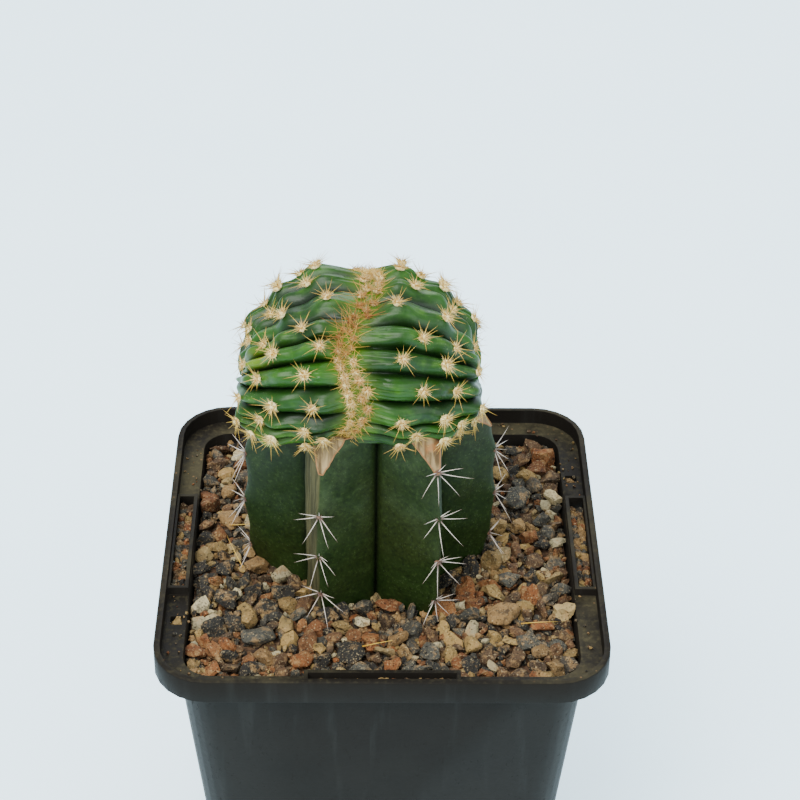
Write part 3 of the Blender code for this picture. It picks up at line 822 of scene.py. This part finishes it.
from_axis = crest_points[:, :2] - np.array(STEM_AXIS)
stem_there = stem_radius(np.arctan2(from_axis[:, 1], from_axis[:, 0]), crest_points[:, 2])
over_stem = np.hypot(from_axis[:, 0], from_axis[:, 1]) < stem_there + 0.15 * MM
seat = seat_height(crest_points) + 0.08 * MM
crest_points[:, 2] = np.where(over_stem, np.maximum(crest_points[:, 2], seat), crest_points[:, 2])
move_points(crest, crest_points)
give_measure(crest, "crease", crest_crease)
give_measure(crest, "across", np.degrees(np.abs(crest_across)))
young = bell(from_line, 6)
knob = bell(np.hypot(np.degrees(crest_around) - 52, np.degrees(crest_across) + 58), 13)
low_lobe = bell(np.hypot(np.degrees(crest_around) + 34, np.degrees(crest_across) + 46), 17)
give_measure(crest, "young", np.clip(young * 0.6 + knob, 0, 1))
give_measure(crest, "pale", low_lobe)
edit(crest)
bpy.ops.mesh.normals_make_consistent(inside=False)
close_edit()
smooth_under(crest, 60)
hand_in(crest, "crest_skin", "crested_scion")
print("the crest has", len(crest.data.polygons), "faces")

# %% [markdown]
# ## The crest's finish
#
# Younger skin than the rootstock's: a fresher, glossier green, yellow-green where it is still
# growing. Painted shade takes it nearly black in the creases, and a painted highlight lightens the
# rib tops in patches. Old flanks carry a scatter of whitish scurf. The gloss comes from a thin coat
# over a rougher skin.

# %% Crest finish
crest_skin = Finish(
    "crest_skin", Roughness=0.4, Specular_IOR_Level=0.18, Subsurface_Weight=0.06,
    Subsurface_Scale=0.002, Subsurface_Radius=(0.35, 1.0, 0.2), Coat_Roughness=0.28,
)
where = crest_skin.place()
crease = crest_skin.measure("crease")
across = crest_skin.measure("across")
cloud = crest_skin.speckle(where, 95.0, detail=4.0)
patches = crest_skin.speckle(where, 300.0, detail=5.0, roughness=0.6)
pores = crest_skin.cells(where, 2100.0)
skin = crest_skin.mix(cloud.between(0.30, 0.70), to_linear(12, 40, 4), to_linear(33, 74, 10))
skin = crest_skin.mix(patches.between(0.50, 0.75) * 0.4, skin, to_linear(54, 94, 20))
skin = crest_skin.mix(crest_skin.measure("young") * 0.75, skin, to_linear(104, 128, 14))
skin = crest_skin.mix(crest_skin.measure("pale") * 0.6, skin, to_linear(80, 106, 30))
# Painted highlight: the tops of the ribs are lightened in patches.
painted_ridge_highlight = crease.between(0.16, 0.0) * patches.between(0.40, 0.66)
skin = crest_skin.mix(painted_ridge_highlight * 0.30, skin, to_linear(66, 106, 20))
scurf = pores.between(0.34, 0.14) * patches.between(0.46, 0.62) * across.between(24.0, 48.0)
skin = crest_skin.mix(scurf * 0.40, skin, to_linear(128, 142, 104))
# Painted shade: the creases between the ribs go nearly black.
skin = crest_skin.mix(crease.between(0.25, 0.85) * 0.85, skin, to_linear(5, 17, 3))
crest_skin.set("Base Color", skin)
crest_skin.set("Roughness", 0.34 + scurf * 0.30 + patches * 0.12)
crest_skin.set("Coat Weight", 0.10 - scurf * 0.08)
crest_skin.bump(patches * 0.8 + pores.between(0.0, 0.5) * 0.25 + scurf * 0.5, 0.07 * MM)
crest.data.materials.append(crest_skin.material)
print("the crest's finish has", len(crest_skin.tree.nodes), "nodes")

# %% [markdown]
# ## Spines and wool
#
# Every areole is a felted cushion with a star of spines. One spine is modelled once: a slim cone
# cut into rings, with its base swollen and its length gently curved. A tuft hair is the same
# spine with fewer sides. Copies are turned and stretched into place and gathered into one mesh
# for each areole. Each point remembers how far along its spine it lies, so the finish can run
# from a brown foot to a pale shaft.

# %% One spine


def model_spine(name, sides, rings):
    """A straight spine one unit long along Z, swollen at its foot."""
    bpy.ops.object.select_all(action="DESELECT")
    bpy.ops.mesh.primitive_cone_add(
        vertices=sides, radius1=1.0, radius2=0.12, depth=1.0, location=(0, 0, 0.5)
    )
    made = bpy.context.active_object
    made.name = name
    bpy.ops.object.transform_apply(location=True, rotation=True, scale=True)
    cut_into_rings(made, rings, 0.5)
    edit(made)
    bpy.ops.mesh.quads_convert_to_tris()
    close_edit()
    points = points_of(made)
    along = points[:, 2].copy()
    points[:, :2] *= (1 + 0.5 * np.exp(-along / 0.08))[:, None]
    return points, triangles_of(made), along, made


def triangles_of(piece):
    flat = np.empty(len(piece.data.polygons) * 3, int)
    piece.data.polygons.foreach_get("vertices", flat)
    return flat.reshape(-1, 3)


def take(made):
    """Keeps a model's points, triangles and lengths, and removes the object itself."""
    points, faces, along, piece = made
    bpy.data.objects.remove(piece)
    return points, faces, along


SPINE = take(model_spine("spine_model", 6, 5))
HAIR = take(model_spine("hair_model", 3, 2))
print("a spine has", len(SPINE[1]), "faces and a hair", len(HAIR[1]))

# %% Gathering copies


class Gathering:
    """Copies of modelled shapes, put in place and joined into one mesh."""

    def __init__(self):
        self.points, self.faces, self.slots = [], [], []
        self.measures = {}
        self.count = 0

    def add(self, points, faces, slot=0, **measures):
        self.points.append(points)
        self.faces.append(faces + self.count)
        self.slots.append(np.full(len(faces), slot))
        for name, values in measures.items():
            values = np.broadcast_to(np.asarray(values, float), (len(points),))
            self.measures.setdefault(name, []).append(values)
        self.count += len(points)

    def build(self, name, *finishes):
        mesh = bpy.data.meshes.new(name)
        mesh.from_pydata(np.concatenate(self.points).tolist(), [], np.concatenate(self.faces).tolist())
        for finish in finishes:
            mesh.materials.append(finish.material)
        mesh.polygons.foreach_set("material_index", np.concatenate(self.slots).astype(np.int32))
        piece = bpy.data.objects.new(name, mesh)
        bpy.context.scene.collection.objects.link(piece)
        for measure, values in self.measures.items():
            give_measure(piece, measure, np.concatenate(values))
        mesh.update()
        return piece


def facing(outward, upward):
    """Axes whose third is the outward direction and whose second is as near upward as it can be."""
    outward, upward = Vector(outward), Vector(upward)
    side = upward.cross(outward).normalized()
    return np.array(Matrix((side, outward.cross(side), outward)).transposed())


def pointed(direction, roll):
    """Axes whose third is the direction, turned about it by the roll."""
    direction = Vector(direction).normalized()
    turn = Vector((0, 0, 1)).rotation_difference(direction).to_matrix()
    return np.array(turn @ Matrix.Rotation(roll, 3, "Z"))


SPINE_BEND = 0.06  # sideways at the tip, as a share of the length


def add_needle(gathering, model, foot, direction, length, thickness, roll, slot, tone):
    points, faces, along = model
    shaped = points * np.array((thickness, thickness, length))
    shaped[:, 1] += along**2 * length * SPINE_BEND
    placed = shaped @ pointed(direction, roll).T + np.array(foot)
    gathering.add(placed, faces, slot, along=along, tone=tone)


print("copies can be gathered")

# %% [markdown]
# ## Finishes of spine and wool
#
# A rootstock spine is brown at the foot, chalky for most of its length and dark at the very tip.
# The crest's spines are straw, and rusty where they are young. Wool is cream with an orange cast
# that comes and goes, matt, and faintly furry at its edge.

# %% Spine and wool finishes


def spine_finish(name, foot, shaft, tip, warm):
    finish = Finish(name, Roughness=0.5, Specular_IOR_Level=0.35)
    along = finish.measure("along")
    fleck = finish.speckle(finish.place(), 1800.0, detail=2.0)
    colour = finish.mix(along.between(0.02, 0.30), to_linear(*foot), to_linear(*shaft))
    colour = finish.mix(along.between(0.82, 1.0), colour, to_linear(*tip))
    colour = finish.mix(finish.measure("tone") * 0.8, colour, to_linear(*warm))
    colour = finish.mix(fleck.between(0.5, 0.8) * 0.2, colour, to_linear(*foot))
    finish.set("Base Color", colour)
    finish.set("Roughness", 0.42 + fleck * 0.2)
    finish.bump(fleck, 0.02 * MM)
    return finish


chalky_spine = spine_finish("chalky_spine", (74, 44, 34), (196, 184, 170), (96, 70, 58), (124, 102, 90))
straw_spine = spine_finish("straw_spine", (158, 116, 30), (192, 158, 66), (112, 66, 16), (96, 30, 2))


def wool_finish(name, light, dark):
    finish = Finish(name, Roughness=0.95, Specular_IOR_Level=0.1, Sheen_Weight=0.35, Sheen_Roughness=0.5)
    where = finish.place()
    fluff = finish.speckle(where, 1500.0, detail=3.0)
    stain = finish.speckle(where, 420.0, detail=3.0)
    colour = finish.mix(fluff.between(0.35, 0.65), to_linear(*dark), to_linear(*light))
    colour = finish.mix(finish.measure("tone") * 0.85, colour, to_linear(140, 78, 4))
    colour = finish.mix(stain.between(0.60, 0.75) * 0.3, colour, to_linear(156, 104, 24))
    finish.set("Base Color", colour)
    finish.bump(fluff, 0.12 * MM)
    return finish


cream_wool = wool_finish("cream_wool", (246, 232, 168), (196, 160, 74))
brown_felt = wool_finish("brown_felt", (112, 80, 58), (62, 40, 30))
print("four finishes for the areoles")

# %% [markdown]
# ## One areole
#
# The cushion is a low dome of felt. It starts as a ball of triangles, is flattened, and is
# roughened so that it never looks turned. Short hairs then stand out of it in all directions,
# and the spines leave it near its rim.

# %% The felt cushion
bpy.ops.object.select_all(action="DESELECT")
bpy.ops.mesh.primitive_ico_sphere_add(subdivisions=3, radius=1.0, location=(0, 0, 0))
cushion_model = bpy.context.active_object
cushion_points = points_of(cushion_model)
cushion_points *= (1 + 0.16 * unevenness(cushion_points, 2.2, 4.0))[:, None]
CUSHION = (cushion_points, triangles_of(cushion_model))
bpy.data.objects.remove(cushion_model)


def spread_directions(count, lowest, dice):
    """Directions spread over a dome, none leaning out less than the lowest angle."""
    for index in range(count):
        turn = index * math.pi * (3 - math.sqrt(5)) + dice.uniform(-0.3, 0.3)
        lean = math.asin(min(0.99, math.sin(lowest) + (1 - math.sin(lowest)) * (index + 0.5) / count))
        yield Vector((math.cos(turn) * math.cos(lean), math.sin(turn) * math.cos(lean), math.sin(lean)))


def add_cushion(gathering, foot, axes, radius, flatness, hairs, hair_length, tone, warmth, dice):
    spin = np.array(Matrix.Rotation(dice.uniform(0, 6.28), 3, "Z"))
    points = (CUSHION[0] @ spin.T) * radius * np.array((1.0, dice.uniform(0.8, 1.0), flatness))
    gathering.add(points @ axes.T + np.array(foot), CUSHION[1], 0, along=0.5, tone=tone)
    for direction in spread_directions(hairs, math.radians(8), dice):
        root = np.array(direction) * radius * np.array((0.85, 0.85, flatness * 0.85))
        length = hair_length * dice.uniform(0.6, 1.2)
        add_needle(
            gathering, HAIR, root @ axes.T + np.array(foot), axes @ np.array(direction), length,
            0.055 * MM, dice.uniform(0, 6.28), 0, min(1.0, tone + warmth * dice.random()),
        )


def star_direction(turn, lean):
    turn, lean = math.radians(turn), math.radians(lean)
    return np.array((math.sin(turn) * math.cos(lean), math.cos(turn) * math.cos(lean), math.sin(lean)))


print("a cushion has", len(CUSHION[1]), "faces")

# %% The rootstock's areoles
# Turn from straight up, lean outward, length in mm.
SPINE_STAR = (
    (18, 34, 3.4), (62, 30, 5.2), (104, 24, 6.4), (152, 30, 6.8),
    (196, 26, 7.0), (250, 26, 5.8), (302, 32, 5.0),
)
dice = random.Random(41)
spine_count = 0
for number, rib_name in enumerate(RIB_NAMES):
    angle = RIB_ANGLES[number]
    out = Vector((math.cos(angle), math.sin(angle), 0))
    axes = facing(out, (0, 0, 1))
    for index, height_of_areole in enumerate(areole_heights(number)):
        reach = float(stem_radius(np.array(angle), np.array(height_of_areole)))
        foot = np.array((*STEM_AXIS, height_of_areole)) + np.array(out) * (reach + 0.15 * MM)
        cluster = Gathering()
        add_cushion(cluster, foot, axes, 0.78 * MM, 0.62, 26, 0.5 * MM, 0.0, 0.0, dice)
        for turn, lean, length in SPINE_STAR:
            local = star_direction(turn + dice.uniform(-9, 9), lean + dice.uniform(-8, 8))
            direction = axes @ local
            length = length * MM * dice.uniform(0.85, 1.18)
            drop = -direction[2] * length
            length *= min(1.0, (foot[2] - SOIL_LINE - 0.6 * MM) / drop) if drop > 0 else 1.0
            root = foot + direction * 0.2 * MM
            add_needle(
                cluster, SPINE, root, direction, length, 0.125 * MM, dice.uniform(0, 6.28), 1,
                dice.uniform(0.0, 0.35),
            )
            spine_count += 1
        node = f"spines_{rib_name}_{index + 1}"
        piece = cluster.build("needles_" + node[7:], brown_felt, chalky_spine)
        smooth_under(piece, 50)
        hand_in(piece, "rootstock_spine", node)
print("the rootstock has", spine_count, "spines")

# %% [markdown]
# ## The crest's areoles
#
# They sit on the tops of the ribs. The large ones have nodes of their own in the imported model,
# and the smaller ones fill the rows between, close to the growing line and far out on the
# flanks. Along the line itself new areoles crowd together, and their wool and young rusty
# spines merge into one bristling band.

# %% Places on the crest


def rib_top(number, across):
    """How far round the top of a rib lies, found by halving."""
    low, high = math.radians(-120), math.radians(240)
    for _ in range(40):
        middle = (low + high) / 2
        if float(rib_phase(np.array(middle), np.array(across))) < number:
            low = middle
        else:
            high = middle
    return (low + high) / 2


def crest_spot(around, across):
    points, outs, _ = crest_surface([around], [across])
    return points[0], outs[0]


def add_crest_areole(gathering, around, across, radius, spines, length, tone, dice, hairs=58):
    spot, out = crest_spot(around, across)
    axes = facing(out, Vector((0.2, -0.3, 1.0)).normalized())
    cushion = radius * 0.84
    add_cushion(
        gathering, spot + out * radius * 0.2, axes, cushion, 0.5, hairs, radius * 1.0, tone, 0.28, dice
    )
    start = dice.uniform(0, 360)
    for index in range(spines):
        turn = start + 360 * index / spines + dice.uniform(-14, 14)
        direction = axes @ star_direction(turn, dice.uniform(10, 40))
        add_needle(
            gathering, SPINE, spot + out * radius * 0.35 + direction * radius * 0.3, direction,
            length * dice.uniform(0.7, 1.2), 0.078 * MM, dice.uniform(0, 6.28), 1,
            min(1.0, tone + dice.uniform(0, 0.25)),
        )


AREOLE_EVERY = 2
AREOLES_A_SIDE = 7
dice = random.Random(77)
for side_name, sign in (("left", -1), ("right", 1)):
    across = math.radians(38.0) * sign
    for number in range(AREOLES_A_SIDE):
        cluster = Gathering()
        add_crest_areole(
            cluster, rib_top(number * AREOLE_EVERY - 1, across), across, 1.25 * MM, 11, 3.8 * MM, 0.06, dice
        )
        piece = cluster.build(f"wool_star_{side_name}_{number + 1}", cream_wool, straw_spine)
        smooth_under(piece, 50)
        hand_in(piece, "crest_spine", f"areole_{side_name}_{number + 1}")
print("the large areoles stand for", 2 * AREOLES_A_SIDE, "nodes")

# %% The smaller areoles and the growing line
rows = Gathering()
small_count = 0
for sign in (-1, 1):
    for number in range(-2, 13):
        around_here = rib_top(number, math.radians(38) * sign)
        if math.sin(around_here) < -0.62:
            continue
        stars = ((24, 1.12, 0.12), (49, 0.95, 0.05))
        if number % 2 == 1:
            stars = ((15, 1.05, 0.2), (63, 0.9, 0.04))
        for degrees, radius, tone in stars:
            across = math.radians(degrees + dice.uniform(-3, 3)) * sign
            add_crest_areole(
                rows, rib_top(number, across), across, radius * MM * dice.uniform(0.9, 1.1), 10,
                3.4 * MM, tone, dice,
            )
            small_count += 1
piece = rows.build("small_wool_stars", cream_wool, straw_spine)
smooth_under(piece, 50)
hand_in(piece, "crest_spine")

line = Gathering()
LINE_FIRST, LINE_LAST, LINE_STEP = -34.0, 212.0, 3.1
degrees_round = LINE_FIRST
line_count = 0
while degrees_round < LINE_LAST:
    middle = float(crest_line(np.radians(degrees_round)))
    degrees_across = middle + (2.0 if line_count % 2 else -2.0) + dice.uniform(-1.2, 1.2)
    crowding = 0.75 + 0.35 * math.sin(math.radians(degrees_round * 4.3))
    on_top = math.exp(-(((degrees_round - 72) / 26) ** 2))
    add_crest_areole(
        line, math.radians(degrees_round), math.radians(degrees_across), 0.85 * MM * crowding + 0.15 * MM,
        9, (2.4 + 3.0 * on_top) * MM, min(1.0, 0.62 * dice.random() ** 1.5 + 0.55 * on_top), dice, hairs=54,
    )
    degrees_round += LINE_STEP * dice.uniform(0.75, 1.25)
    line_count += 1
piece = line.build("growing_line_bristles", cream_wool, straw_spine)
smooth_under(piece, 50)
hand_in(piece, "crest_spine")
print(small_count, "smaller areoles and", line_count, "along the growing line")

# %% [markdown]
# ## Stones
#
# The grit is broken rock: pale pumice, rusty lava, brown clay granules and dark basalt. A handful
# of grains are modelled, each a ball of triangles cut by a few flat planes, which is how rock
# breaks. Thousands of copies then differ in size, turn, stretch and tint.

# %% Grain models
GRAIN_MODELS = 14
STONE_FACES = 4


def broken(points, dice, cuts):
    """Presses a ball's points back to a few flat planes."""
    for _ in range(cuts):
        normal = np.array([dice.gauss(0, 1) for _ in range(3)])
        normal /= np.linalg.norm(normal)
        beyond = points @ normal - dice.uniform(0.45, 0.82)
        points = points - np.maximum(beyond, 0)[:, None] * normal
    return points


def model_grain(index, subdivisions, cuts, rough):
    dice = random.Random(900 + index)
    bpy.ops.object.select_all(action="DESELECT")
    bpy.ops.mesh.primitive_ico_sphere_add(subdivisions=subdivisions, radius=1.0, location=(0, 0, 0))
    ball = bpy.context.active_object
    points, faces = broken(points_of(ball), dice, cuts), triangles_of(ball)
    bpy.data.objects.remove(ball)
    directions = points / np.linalg.norm(points, axis=1, keepdims=True)
    jag = unevenness(points, 2.1, index * 3.1) * rough + unevenness(points, 5.0, index) * rough * 0.5
    return points + directions * jag[:, None], faces


GRAINS = [model_grain(index, 2, 6, 0.36) for index in range(GRAIN_MODELS)]
print(GRAIN_MODELS, "grains of", len(GRAINS[0][1]), "faces")

# %% [markdown]
# ## The grit's finish
#
# One finish serves all the stone. Each grain carries a tint: which rock it is, and how light. The
# finish turns that number into a colour, then breaks it up with crystals, dust and pores, and paints
# shade into the sunken pits.

# %% Grit finish
ROCKS = {
    "basalt": (0.05, (34, 33, 29)),
    "slate": (0.20, (66, 65, 57)),
    "umber": (0.35, (76, 56, 36)),
    "rust": (0.50, (112, 66, 32)),
    "tan": (0.65, (126, 98, 60)),
    "ochre": (0.80, (138, 112, 64)),
    "pumice": (0.95, (170, 158, 122)),
}
rock = Finish("broken_rock", Roughness=0.92, Specular_IOR_Level=0.25)
where = rock.place()
stops = [(place, to_linear(*colour)) for place, colour in ROCKS.values()]
base = rock.node("ValToRGB", {"stops": stops}, {"Fac": rock.measure("tint")})
light = rock.measure("lightness")
cloud = rock.speckle(where, 420.0, detail=6.0, roughness=0.7)
grainy = rock.speckle(where, 2400.0, detail=3.0)
pits = rock.cells(where, 1700.0)
colour = rock.mix(light, rock.mix(0.55, base, to_linear(24, 20, 17)), base)
colour = rock.mix(cloud.between(0.50, 0.66) * 0.7, colour, to_linear(138, 108, 68))
colour = rock.mix(cloud.between(0.47, 0.34) * 0.75, colour, to_linear(34, 27, 20))
colour = rock.mix(grainy.between(0.56, 0.70) * 0.5, colour, to_linear(168, 150, 112))
# Painted shade: the pits that the bump sinks are darkened.
colour = rock.mix(pits.between(0.22, 0.08) * 0.6, colour, to_linear(26, 21, 18))
rock.set("Base Color", colour)
rock.set("Roughness", 0.78 + grainy * 0.2)
rock.bump(cloud * 1.0 + grainy * 0.5 + pits.between(0.0, 0.3) * 0.8, 0.55 * MM)
print("the grit's finish knows", len(ROCKS), "rocks")

# %% The big stones
big_tints = ("pumice", "basalt", "rust", "tan", "slate", "umber", "ochre", "basalt", "rust", "slate", "tan")
stone_nodes = sorted(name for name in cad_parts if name.startswith("stone_"))
for index, node in enumerate(stone_nodes):
    stone = copy_of_node(node, "rock_" + node[6:])
    edit(stone)
    bpy.ops.mesh.quads_convert_to_tris()
    bpy.ops.mesh.subdivide(number_cuts=STONE_FACES)
    close_edit()
    apply_modifier(stone, "SMOOTH", factor=0.5, iterations=3)
    points = points_of(stone)
    middle = points.mean(axis=0)
    directions = points - middle
    directions /= np.linalg.norm(directions, axis=1, keepdims=True)
    jag = unevenness(points, 380.0, index * 2.3) * 0.42 + unevenness(points, 1100.0, index) * 0.16
    move_points(stone, points + directions * jag[:, None] * MM)
    give_measure(stone, "tint", np.full(len(points), ROCKS[big_tints[index % len(big_tints)]][0]))
    give_measure(stone, "lightness", np.full(len(points), 0.75))
    stone.data.materials.append(rock.material)
    smooth_under(stone, 28)
    hand_in(stone, "stone", node)
print(len(stone_nodes), "large stones")

# %% [markdown]
# ## Loose grit
#
# The imported grit under the surface is one solid node and stays. Its granular finish is darker
# than the loose grit, as painted shade for the gaps. Loose grains cover it. They are thrown from the
# largest down, each only where it has room, so small ones fill the gaps between large ones, as they
# do when a pot is shaken. A second, finer throw lies lower and closes what is left.

# %% Throw the grains
BED_TOP = substrate_high.z
GRIT_HALF = substrate_high.x - 0.2 * MM
stone_rings = []
for node in stone_nodes:
    low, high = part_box(node)
    stone_rings.append(((low.x + high.x) / 2, (low.y + high.y) / 2, max(high.x - low.x, high.y - low.y) / 2))


FOOTPRINT = stem_radius(np.radians(np.arange(720) / 2), np.full(720, SOIL_LINE)).tolist()


def outside_stem(x, y, margin):
    dx, dy = x - STEM_AXIS.x, y - STEM_AXIS.y
    half_degrees = int(math.degrees(math.atan2(dy, dx)) * 2) % 720
    return math.hypot(dx, dy) > FOOTPRINT[half_degrees] + margin


def throw(sizes, tightness, keep_off_stones, seed):
    """Places for grains of these sizes, largest first, each clear of those before it."""
    dice = random.Random(seed)
    cell = max(sizes)
    grid, placed = {}, []
    for size in sorted(sizes, reverse=True):
        for _ in range(26):
            x, y = dice.uniform(-GRIT_HALF, GRIT_HALF), dice.uniform(-GRIT_HALF, GRIT_HALF)
            if max(abs(x), abs(y)) > GRIT_HALF - size * 0.4 or not outside_stem(x, y, size * 0.35):
                continue
            if keep_off_stones and any(math.hypot(x - a, y - b) < r * 0.85 + size for a, b, r in stone_rings):
                continue
            home = (int(x // cell), int(y // cell))
            around_home = [(home[0] + i, home[1] + j) for i in (-2, -1, 0, 1, 2) for j in (-2, -1, 0, 1, 2)]
            near = [other for key in around_home for other in grid.get(key, ())]
            if all(math.hypot(x - a, y - b) > (size + s) * tightness for a, b, s in near):
                grid.setdefault(home, []).append((x, y, size))
                placed.append((x, y, size))
                break
    return placed


dice = random.Random(13)
top_sizes = [dice.triangular(1.5, 3.2, 2.0) * MM for _ in range(420)]
top_sizes += [dice.triangular(0.55, 1.8, 0.9) * MM for _ in range(4200)]
low_sizes = [dice.triangular(0.5, 1.5, 0.7) * MM for _ in range(2200)]
top_layer = throw(top_sizes, 0.66, True, 101)
low_layer = throw(low_sizes, 0.85, False, 202)
print(len(top_layer), "grains on top and", len(low_layer), "below")

# %% Build the grit
GROUPS = {
    "dark_grit": ("basalt", "slate"),
    "rusty_grit": ("rust", "umber"),
    "tan_grit": ("tan", "ochre", "umber"),
    "pale_grit": ("pumice", "ochre"),
}
SHARES = (("dark_grit", 0.35), ("rusty_grit", 0.31), ("tan_grit", 0.23), ("pale_grit", 0.11))
gathered = {name: Gathering() for name in GROUPS}
dice = random.Random(55)
for layer, lift in ((top_layer, 1.0), (low_layer, 0.0)):
    for x, y, size in layer:
        name = dice.choices([s[0] for s in SHARES], [s[1] for s in SHARES])[0]
        points, faces = dice.choice(GRAINS)
        stretch = np.array((1.0, dice.uniform(0.5, 0.9), dice.uniform(0.4, 0.75))) * size * 1.12
        turn = (
            Matrix.Rotation(dice.uniform(0, 6.28), 3, "Z")
            @ Matrix.Rotation(dice.gauss(0, 0.5), 3, "X")
            @ Matrix.Rotation(dice.gauss(0, 0.5), 3, "Y")
        )
        height = BED_TOP + size * 0.30 * lift + dice.uniform(-0.3, 0.7) * MM * (0.4 + lift)
        placed = (points * stretch) @ np.array(turn).T + np.array((x, y, height))
        tint = ROCKS[dice.choice(GROUPS[name])][0] + dice.uniform(-0.04, 0.04)
        gathered[name].add(placed, faces, 0, tint=tint, lightness=dice.uniform(0.1, 1.0))
for name, gathering in gathered.items():
    piece = gathering.build(name, rock)
    smooth_under(piece, 20)
    hand_in(piece, "stone")
    print(name, len(piece.data.polygons), "faces")

# %% [markdown]
# ## Strays
#
# Potting always spills a little. Grains wedge in the label slots, finer crumbs stay on the ledge,
# and a few dry rootlets lie on the grit. They are what makes the pot look used.

# %% Strays
LEDGE_DEPTH = 3.5 * MM  # from the lip's top down to the ledge
LEDGE_TOP = pot_high.z - LEDGE_DEPTH
SLOT_INSET = 3.3 * MM  # from the rim's outside to the middle of a label slot
SLOT_MIDDLE = pot_high.x - SLOT_INSET
SLOT_HALF_LENGTH = 13.2 * MM
# Rows of wedged grains in a slot: sideways, below the ledge, half length and spacing, in mm.
WEDGED_ROWS = ((-0.8, 0.4, 1.15, 1.3), (0.8, 0.6, 1.15, 1.35), (0.0, 1.7, 1.5, 1.5))
PEG_MIDDLE = 23.2 * MM  # from the middle of a side to its peg hole
PEG_GRAIN = 1.55 * MM
CRUMB_COUNT = 150
CRUMB_BAND = (38.6, 43.2)  # how far out the ledge's crumbs lie, in mm
CRUMB_SIZES = (0.14, 0.5)  # half length in mm
SLOT_MARGIN = 2.5 * MM
strays = Gathering()
dice = random.Random(31)


def add_stray(x, y, height, size, squash):
    points, faces = dice.choice(GRAINS)
    about_z = Matrix.Rotation(dice.uniform(0, 6.28), 3, "Z")
    about_x = Matrix.Rotation(dice.uniform(0, 6.28), 3, "X")
    turn = np.array(about_z @ about_x)
    placed = (points * size * np.array((1.0, squash, squash))) @ turn.T + np.array((x, y, height))
    tint = dice.choice(list(ROCKS.values())[:6])[0]
    strays.add(placed, faces, 0, tint=tint, lightness=dice.uniform(0.2, 0.8))


for quarter in range(4):
    turned = Matrix.Rotation(math.radians(90 * quarter), 3, "Z")
    for sideways, below, size, spacing in WEDGED_ROWS:
        along = -SLOT_HALF_LENGTH
        while along < SLOT_HALF_LENGTH:
            place = turned @ Vector((SLOT_MIDDLE + sideways * MM, along, 0))
            if quarter != 0 or along > -10.5 * MM:
                add_stray(
                    place.x, place.y, LEDGE_TOP - below * MM, size * MM * dice.uniform(0.9, 1.1),
                    dice.uniform(0.8, 1.0),
                )
            along += spacing * MM
    peg = turned @ Vector((SLOT_MIDDLE - 0.3 * MM, PEG_MIDDLE, 0))
    add_stray(peg.x, peg.y, LEDGE_TOP - 1.1 * MM, PEG_GRAIN, 1.0)
for _ in range(CRUMB_COUNT):
    out, along = dice.uniform(*CRUMB_BAND) * MM, dice.uniform(-38, 38) * MM
    quarter = dice.choice((0, 1, 2, 3, 0, 2))
    place = Matrix.Rotation(math.radians(90 * quarter), 3, "Z") @ Vector((out, along, 0))
    if abs(along) > SLOT_HALF_LENGTH + SLOT_MARGIN:
        size = dice.uniform(*CRUMB_SIZES) * MM
        add_stray(place.x, place.y, LEDGE_TOP + size * 0.5, size, dice.uniform(0.6, 0.9))
piece = strays.build("stray_grains", rock)
smooth_under(piece, 20)
hand_in(piece, "stone")

rootlets = Gathering()
for _ in range(9):
    x, y = dice.uniform(-GRIT_HALF, GRIT_HALF) * 0.85, dice.uniform(-GRIT_HALF, GRIT_HALF) * 0.85
    if outside_stem(x, y, 6 * MM):
        turn = dice.uniform(0, 6.28)
        direction = (math.cos(turn), math.sin(turn), dice.uniform(0.0, 0.2))
        add_needle(
            rootlets, SPINE, (x, y, BED_TOP + 2.4 * MM), direction, dice.uniform(5, 10) * MM, 0.11 * MM,
            dice.uniform(0, 6.28), 0, 0.0,
        )
piece = rootlets.build("dry_rootlets", straw_spine)
hand_in(piece, "stone")
print("strays and rootlets lie in place")

# %% [markdown]
# ## The imported grit below
#
# Only slivers of it show between the loose grains. It keeps its imported shape, and gets a dark
# version of the same grainy rock, its darkness painted shade for the gaps between grains.

# %% Bed finish
bed = Finish("packed_grit", Roughness=0.95, Specular_IOR_Level=0.2)
where = bed.place()
lumps = bed.cells(where, 520.0)
tone = bed.speckle(where, 700.0, detail=5.0)
# Painted shade: the whole bed is darker than the loose grit that shows above it.
colour = bed.mix(lumps.output("Color"), to_linear(40, 30, 23), to_linear(84, 62, 44))
colour = bed.mix(tone.between(0.5, 0.7) * 0.5, colour, to_linear(110, 82, 56))
bed.set("Base Color", colour)
bed.bump(lumps * 1.0 + tone * 0.6, 0.5 * MM)
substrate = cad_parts["substrate"]
substrate.data.materials.clear()
substrate.data.materials.append(bed.material)
print("the packed grit keeps its own mesh of", len(substrate.data.polygons), "faces")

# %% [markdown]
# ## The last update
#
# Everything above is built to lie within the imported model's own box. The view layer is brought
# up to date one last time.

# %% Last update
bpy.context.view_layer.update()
